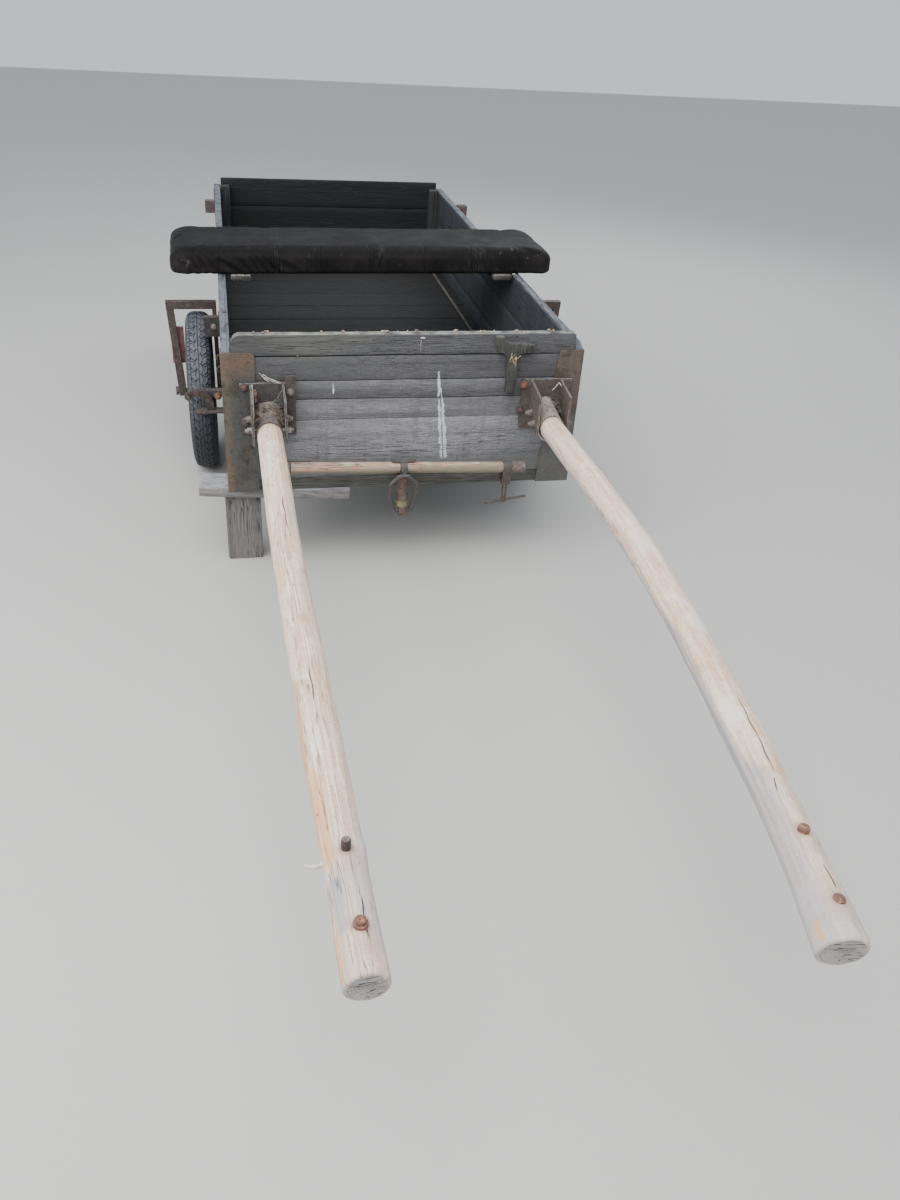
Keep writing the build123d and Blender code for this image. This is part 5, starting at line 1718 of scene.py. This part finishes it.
# straw in the cleat's fork, and a splinter and two flakes on the front boards
bm = bmesh.new()
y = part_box("rein_cleat")[0].y - 0.0015
for number in range(9):
    x, z = 0.326 + 0.022 * chance.random(), 0.748 - 0.02 * chance.random()
    lean = chance.uniform(-1.1, 1.1)
    size = chance.uniform(0.01, 0.017)
    addStrand(bm, [(x - size * sin(lean), y, z + size * cos(lean)), (x, y - 0.002, z),
        (x + size * sin(lean) * 0.8, y - 0.0005, z - size * cos(lean))], 0.0009)
finishPiece("cleatStraw", bm, "straw", smooth=False)
bm = bmesh.new()
addStrands(bm, [(0.0006, 0.5, (0.0395, 0.0008, 0.797), (0.0375, 0.0014, 0.783),
    (0.038, 0.0008, 0.761))])
for x in (0.0405, 0.047):
    addChip(bm, (x, frontY + 0.0003, 0.8035), 0.0045, 0.0025, chance, flat=False)
finishPiece("boardSplinter", bm, "chip", smooth=False)
# the broken twig on the left pole
bm = bmesh.new()
addStrand(bm, [(-0.44, -1.961, 0.4935), (-0.456, -1.965, 0.4915), (-0.468, -1.964, 0.492),
    (-0.477, -1.96, 0.4905)], 0.0048, 7, 0.6)
finishPiece("poleTwig", bm, "chip", smooth=False)

# a split stalk on the left bracket's top edge, one stalk in each bracket and two red ones
bm = bmesh.new()
addStrands(bm, [
    (0.0011, 0.7, (-0.4636, 0.006, 0.699), (-0.451, 0.008, 0.686), (-0.4317, 0.011, 0.6767),
        (-0.404, 0.0135, 0.668)),
    (0.0011, 0.7, (-0.4593, 0.006, 0.6938), (-0.4482, 0.008, 0.6793), (-0.4344, 0.01, 0.6715)),
    (0.0011, 0.7, (-0.4537, 0.006, 0.695), (-0.4372, 0.009, 0.6834), (-0.4151, 0.012, 0.6756),
        (-0.3985, 0.0135, 0.6677)),
    (0.0013, 0.8, (0.4835, 0.0115, 0.628), (0.4935, 0.0125, 0.64), (0.5035, 0.0115, 0.655)),
    (0.0014, 0.8, (0.5035, 0.0115, 0.655), (0.512, 0.02, 0.6435), (0.5165, 0.032, 0.634),
        (0.5195, 0.04, 0.598), (0.519, 0.046, 0.572)),
    (0.0013, 0.8, (-0.4875, 0.012, 0.664), (-0.4865, 0.03, 0.652), (-0.487, 0.052, 0.618),
        (-0.4868, 0.062, 0.578)),
])
finishPiece("bracketStalks", bm, "chip", smooth=False)
bm = bmesh.new()
addStrands(bm, [(0.0014, 0.6, (x, 0.024, top), (x - 0.002, 0.03, 0.5 * (top + foot)),
    (x + 0.0005, 0.033, foot)) for x, top, foot in ((-0.4795, 0.6535, 0.615),
    (-0.4762, 0.647, 0.618))])
finishPiece("redStalks", bm, "redStalk", smooth=False)

# Threads and litter on the sockets: how many and between which angles on each side, then how
# far along, out from the axis, which way and how long
socketThreads = {
    "left": (46, (0.2, 1.7)),
    "right": (16, (0.3, 1.2)),
    "along": (0.014, 0.06),
    "reach": (0.044, 0.052),
    "way": ((-1, 1), (-1, 0.4), (-0.5, 1)),
    "size": (0.005, 0.012),
    "lift": 0.002,
    "radius": 0.0005,
    "sides": 4,
}
socketLitter = {
    "left": (90, (0.3, 2.9)),
    "right": (22, (0.2, 1.1)),
    "along": (0.012, 0.066),
    "reach": (0.043, 0.051),
    "way": ((-1, 1), (-0.6, 0.6), (-0.4, 0.4)),
    "size": (0.004, 0.01),
    "lift": 0.0015,
    "radii": (0.0008, 0.0018),
    "sides": 5,
}


def scatterOnSocket(bm, side, look):
    count, angles = look[side]
    for _ in range(count):
        angle = chance.uniform(*angles)
        here = onSocket(side, chance.uniform(*look["along"]), angle,
            chance.uniform(*look["reach"]))
        way = Vector([chance.uniform(*limits) for limits in look["way"]])
        way.normalize()
        size = chance.uniform(*look["size"])
        radius = look["radius"] if "radius" in look else chance.uniform(*look["radii"])
        addStrand(bm, [here - way * size, here + Vector((0, 0, look["lift"])),
            here + way * size], radius, look["sides"])


def addThinThreads(bm, count=9):
    # from the left bracket's right cheek down to the socket
    for number in range(count):
        share = number / (count - 1)
        slack = 0.006 * chance.random()
        addStrand(bm, [(-0.3965, frontY - 0.02 - 0.014 * share, 0.652 - 0.046 * share),
            (-0.411 - 0.004 * share, frontY - 0.026 - 0.012 * share,
             0.634 - 0.03 * share - slack),
            (-0.428 - 0.012 * share, frontY - 0.032 - 0.012 * share, 0.6135 - 0.006 * share)],
            0.0003, 4, 0.9)


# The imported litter: along the socket, out from its axis, and how uneven, in metres
packed = {"from": 0.012, "length": 0.056, "edge": 0.0405, "reach": 0.0465, "rough": 0.0035,
    "fine": 0.0018}


def packLitter(bm, side, count=18, turns=36):
    # its edges are tucked under the strands
    rows = []
    for i in range(count + 1):
        along = packed["from"] + packed["length"] * i / count
        row = []
        for k in range(turns + 1):
            angle = 0.05 + (pi - 0.1) * k / turns
            rough = waver(along * 120, angle * 5, 3.0)
            fine = waver(along * 380, angle * 16, 8.0)
            edge = min(i, count - i, k, turns - k)
            reach = packed["reach"] + packed["rough"] * rough + packed["fine"] * fine
            row.append(bm.verts.new(onSocket(side, along, angle,
                reach if edge else packed["edge"])))
        rows.append(row)
    for first, second in zip(rows, rows[1:]):
        for k in range(turns):
            bm.faces.new((first[k], first[k + 1], second[k + 1], second[k]))


for side in ("left", "right"):
    bm = bmesh.new()
    scatterOnSocket(bm, side, socketThreads)
    if side == "left":
        addThinThreads(bm)
    finishPiece("bracketThreads_" + side, bm, "web", smooth=False)
    bm = bmesh.new()
    scatterOnSocket(bm, side, socketLitter)
    if side == "left":
        packLitter(bm, side)
    finishPiece("bracketLitter_" + side, bm, "crumbs", smooth=False)

# a loop of thin wire round the right bracket's lower bolt
wire = {"x": 0.3525, "z": 0.5655, "halfX": 0.0165, "halfZ": 0.014, "out": 0.0125, "twist": 0.003}
bm = bmesh.new()
loop = [(wire["x"] + wire["halfX"] * cos(a), frontY - wire["out"] - wire["twist"] * sin(2 * a),
    wire["z"] + wire["halfZ"] * sin(a)) for a in [0.3 + 5.9 * i / 26 for i in range(27)]]
addStrand(bm, loop, 0.0008, 5, 0.9)
finishPiece("wireLoop", bm, "brownBolt", smooth=False)

# nails in the plates and boards, nuts and hooks on the walls, chips on the swinging bar
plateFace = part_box("corner_plate_left")[0].y + 0.001
roundsPiece("nailHeads", [((-0.496, plateFace, 0.734), (0, -1, 0), 0.0042, 0.002),
    ((0.508, plateFace, 0.738), (0, -1, 0), 0.0036, 0.002),
    ((0.473, plateFace, 0.396), (0, -1, 0), 0.0036, 0.0016),
    ((-0.345, frontY + 0.001, 0.75), (0, -1, 0), 0.004, 0.0022)], "brownBolt", sides=10)
roundsPiece("wallTopHeads", [((-0.559, 0.18, 0.776), (0, 0, 1), 0.0062, 0.0065),
    ((-0.5535, 0.053, 0.776), (0, 0, 1), 0.0062, 0.0065)], "brownBolt", sides=10)
nutsPiece("shelfNut", [((-0.599, 0.3437, 0.423), (0, -1, 0), 0.0105, 0.2)], "orangeBolt")
nutsPiece("stayNut", [((-0.6005, 0.5217, 0.619), (0, -1, 0), 0.0085, 0.2)], "nutSteel",
    thread=0.004)
bm = bmesh.new()
for level in (0.752, 0.716):
    addStrand(bm, [(-0.5765, -0.15, level), (-0.585, -0.1515, level - 0.001),
        (-0.5885, -0.152, level - 0.006), (-0.5865, -0.152, level - 0.015)], 0.0022, 6, 0.8)
finishPiece("cornerHooks", bm, "brownBolt", smooth=False)
bm = bmesh.new()
for spot in ((0.556, 0.7, 0.7775), (0.56, 0.676, 0.7775), (0.553, 0.655, 0.7775)):
    addChip(bm, spot, chance.uniform(0.006, 0.01), 0.004, chance)
finishPiece("wallScraps", bm, "chip", smooth=False)
bm = bmesh.new()
for x in (0.2205, 0.2275):
    addChip(bm, (x, -0.2505, 0.4135), 0.0032, 0.0025, chance, flat=False)
finishPiece("barChips", bm, "chip", "whippletree", smooth=False)
print("small things made")

# Carried-over solids get their finishes
finishes = {
    "frameAcross": "front_beam cross_bearers tail_beam",
    "frameAlong": "frame_rail_left frame_rail_right axle_pads",
    "post": "corner_posts",
    "leftPlateIron": "corner_plate_left",
    "rightPlateIron": "corner_plate_right",
    "rearIron": "rear_iron_left rear_iron_right",
    "blackIron": "tail_keeper_left tail_keeper_right tailboard_straps tailboard_leaves "
        "brake_bracket_left brake_bracket_right",
    "bracketIron": "shaft_bracket_left",
    "bracketBrown": "shaft_bracket_right",
    "strapIron": "bracket_strap",
    "socketIron": "shaft_socket_left tree_ferrules",
    "rightSocketIron": "shaft_socket_right",
    "nutSteel": "shaft_bolts_left",
    "nutDull": "shaft_bolts_right",
    "linkIron": "tree_saddle pear_link",
    "drawIron": "draw_bar",
    "toggleIron": "trace_toggle",
    "forkIron": "axle wheel_fork_left wheel_fork_right brake_arm_left brake_arm_right",
    "redPlate": "wheel_side_plate_left",
    "stayIron": "wheel_stay_left wheel_stay_right",
    "wheelSteel": "wheel_rim_left wheel_rim_right",
}
for finish, names in finishes.items():
    for name in names.split():
        for place in nodes[name].material_slots:
            place.material = made[finish]
print("solids finished:", sum(len(names.split()) for names in finishes.values()))

# Floor, sky and lights
studio = {"sky": (0.86, 0.92, 1.0), "skyStrength": 0.86, "floor": (0.5, 0.49, 0.47)}
world = bpy.data.worlds.new("softSky")
world.use_nodes = True
backdrop = world.node_tree.nodes["Background"]
backdrop.inputs["Color"].default_value = *studio["sky"], 1.0
backdrop.inputs["Strength"].default_value = studio["skyStrength"]
scene.world = world
bm = bmesh.new()
bmesh.ops.create_grid(bm, x_segments=8, y_segments=8, size=14)
floorMesh = bpy.data.meshes.new("studioFloor")
bm.to_mesh(floorMesh)
bm.free()
floor = bpy.data.objects.new("studioFloor", floorMesh)
scene.collection.objects.link(floor)
floorMaterial, shader = startMaterial("studioFloor", 0.9)
shader.inputs["Base Color"].default_value = *studio["floor"], 1.0
floorMesh.materials.append(floorMaterial)


def addLight(name, spot, target, size, energy, colour):
    data = bpy.data.lights.new(name, "AREA")
    data.size = size
    data.energy = energy
    data.color = colour
    light = bpy.data.objects.new(name, data)
    light.location = spot
    light.rotation_euler = (Vector(target) - Vector(spot)).to_track_quat("-Z", "Y").to_euler()
    scene.collection.objects.link(light)


addLight("overheadPanel", (-1.2, -2.4, 4.4), (0, -0.6, 0.4), 4.5, 330, (1.0, 0.99, 0.97))
addLight("leftPanel", (-4.2, -1.0, 2.6), (0, 0, 0.5), 3.0, 120, (0.97, 0.98, 1.0))
addLight("rearPanel", (2.6, 3.6, 3.2), (0, 0.4, 0.5), 3.0, 80, (0.97, 0.98, 1.0))
print("studio set")
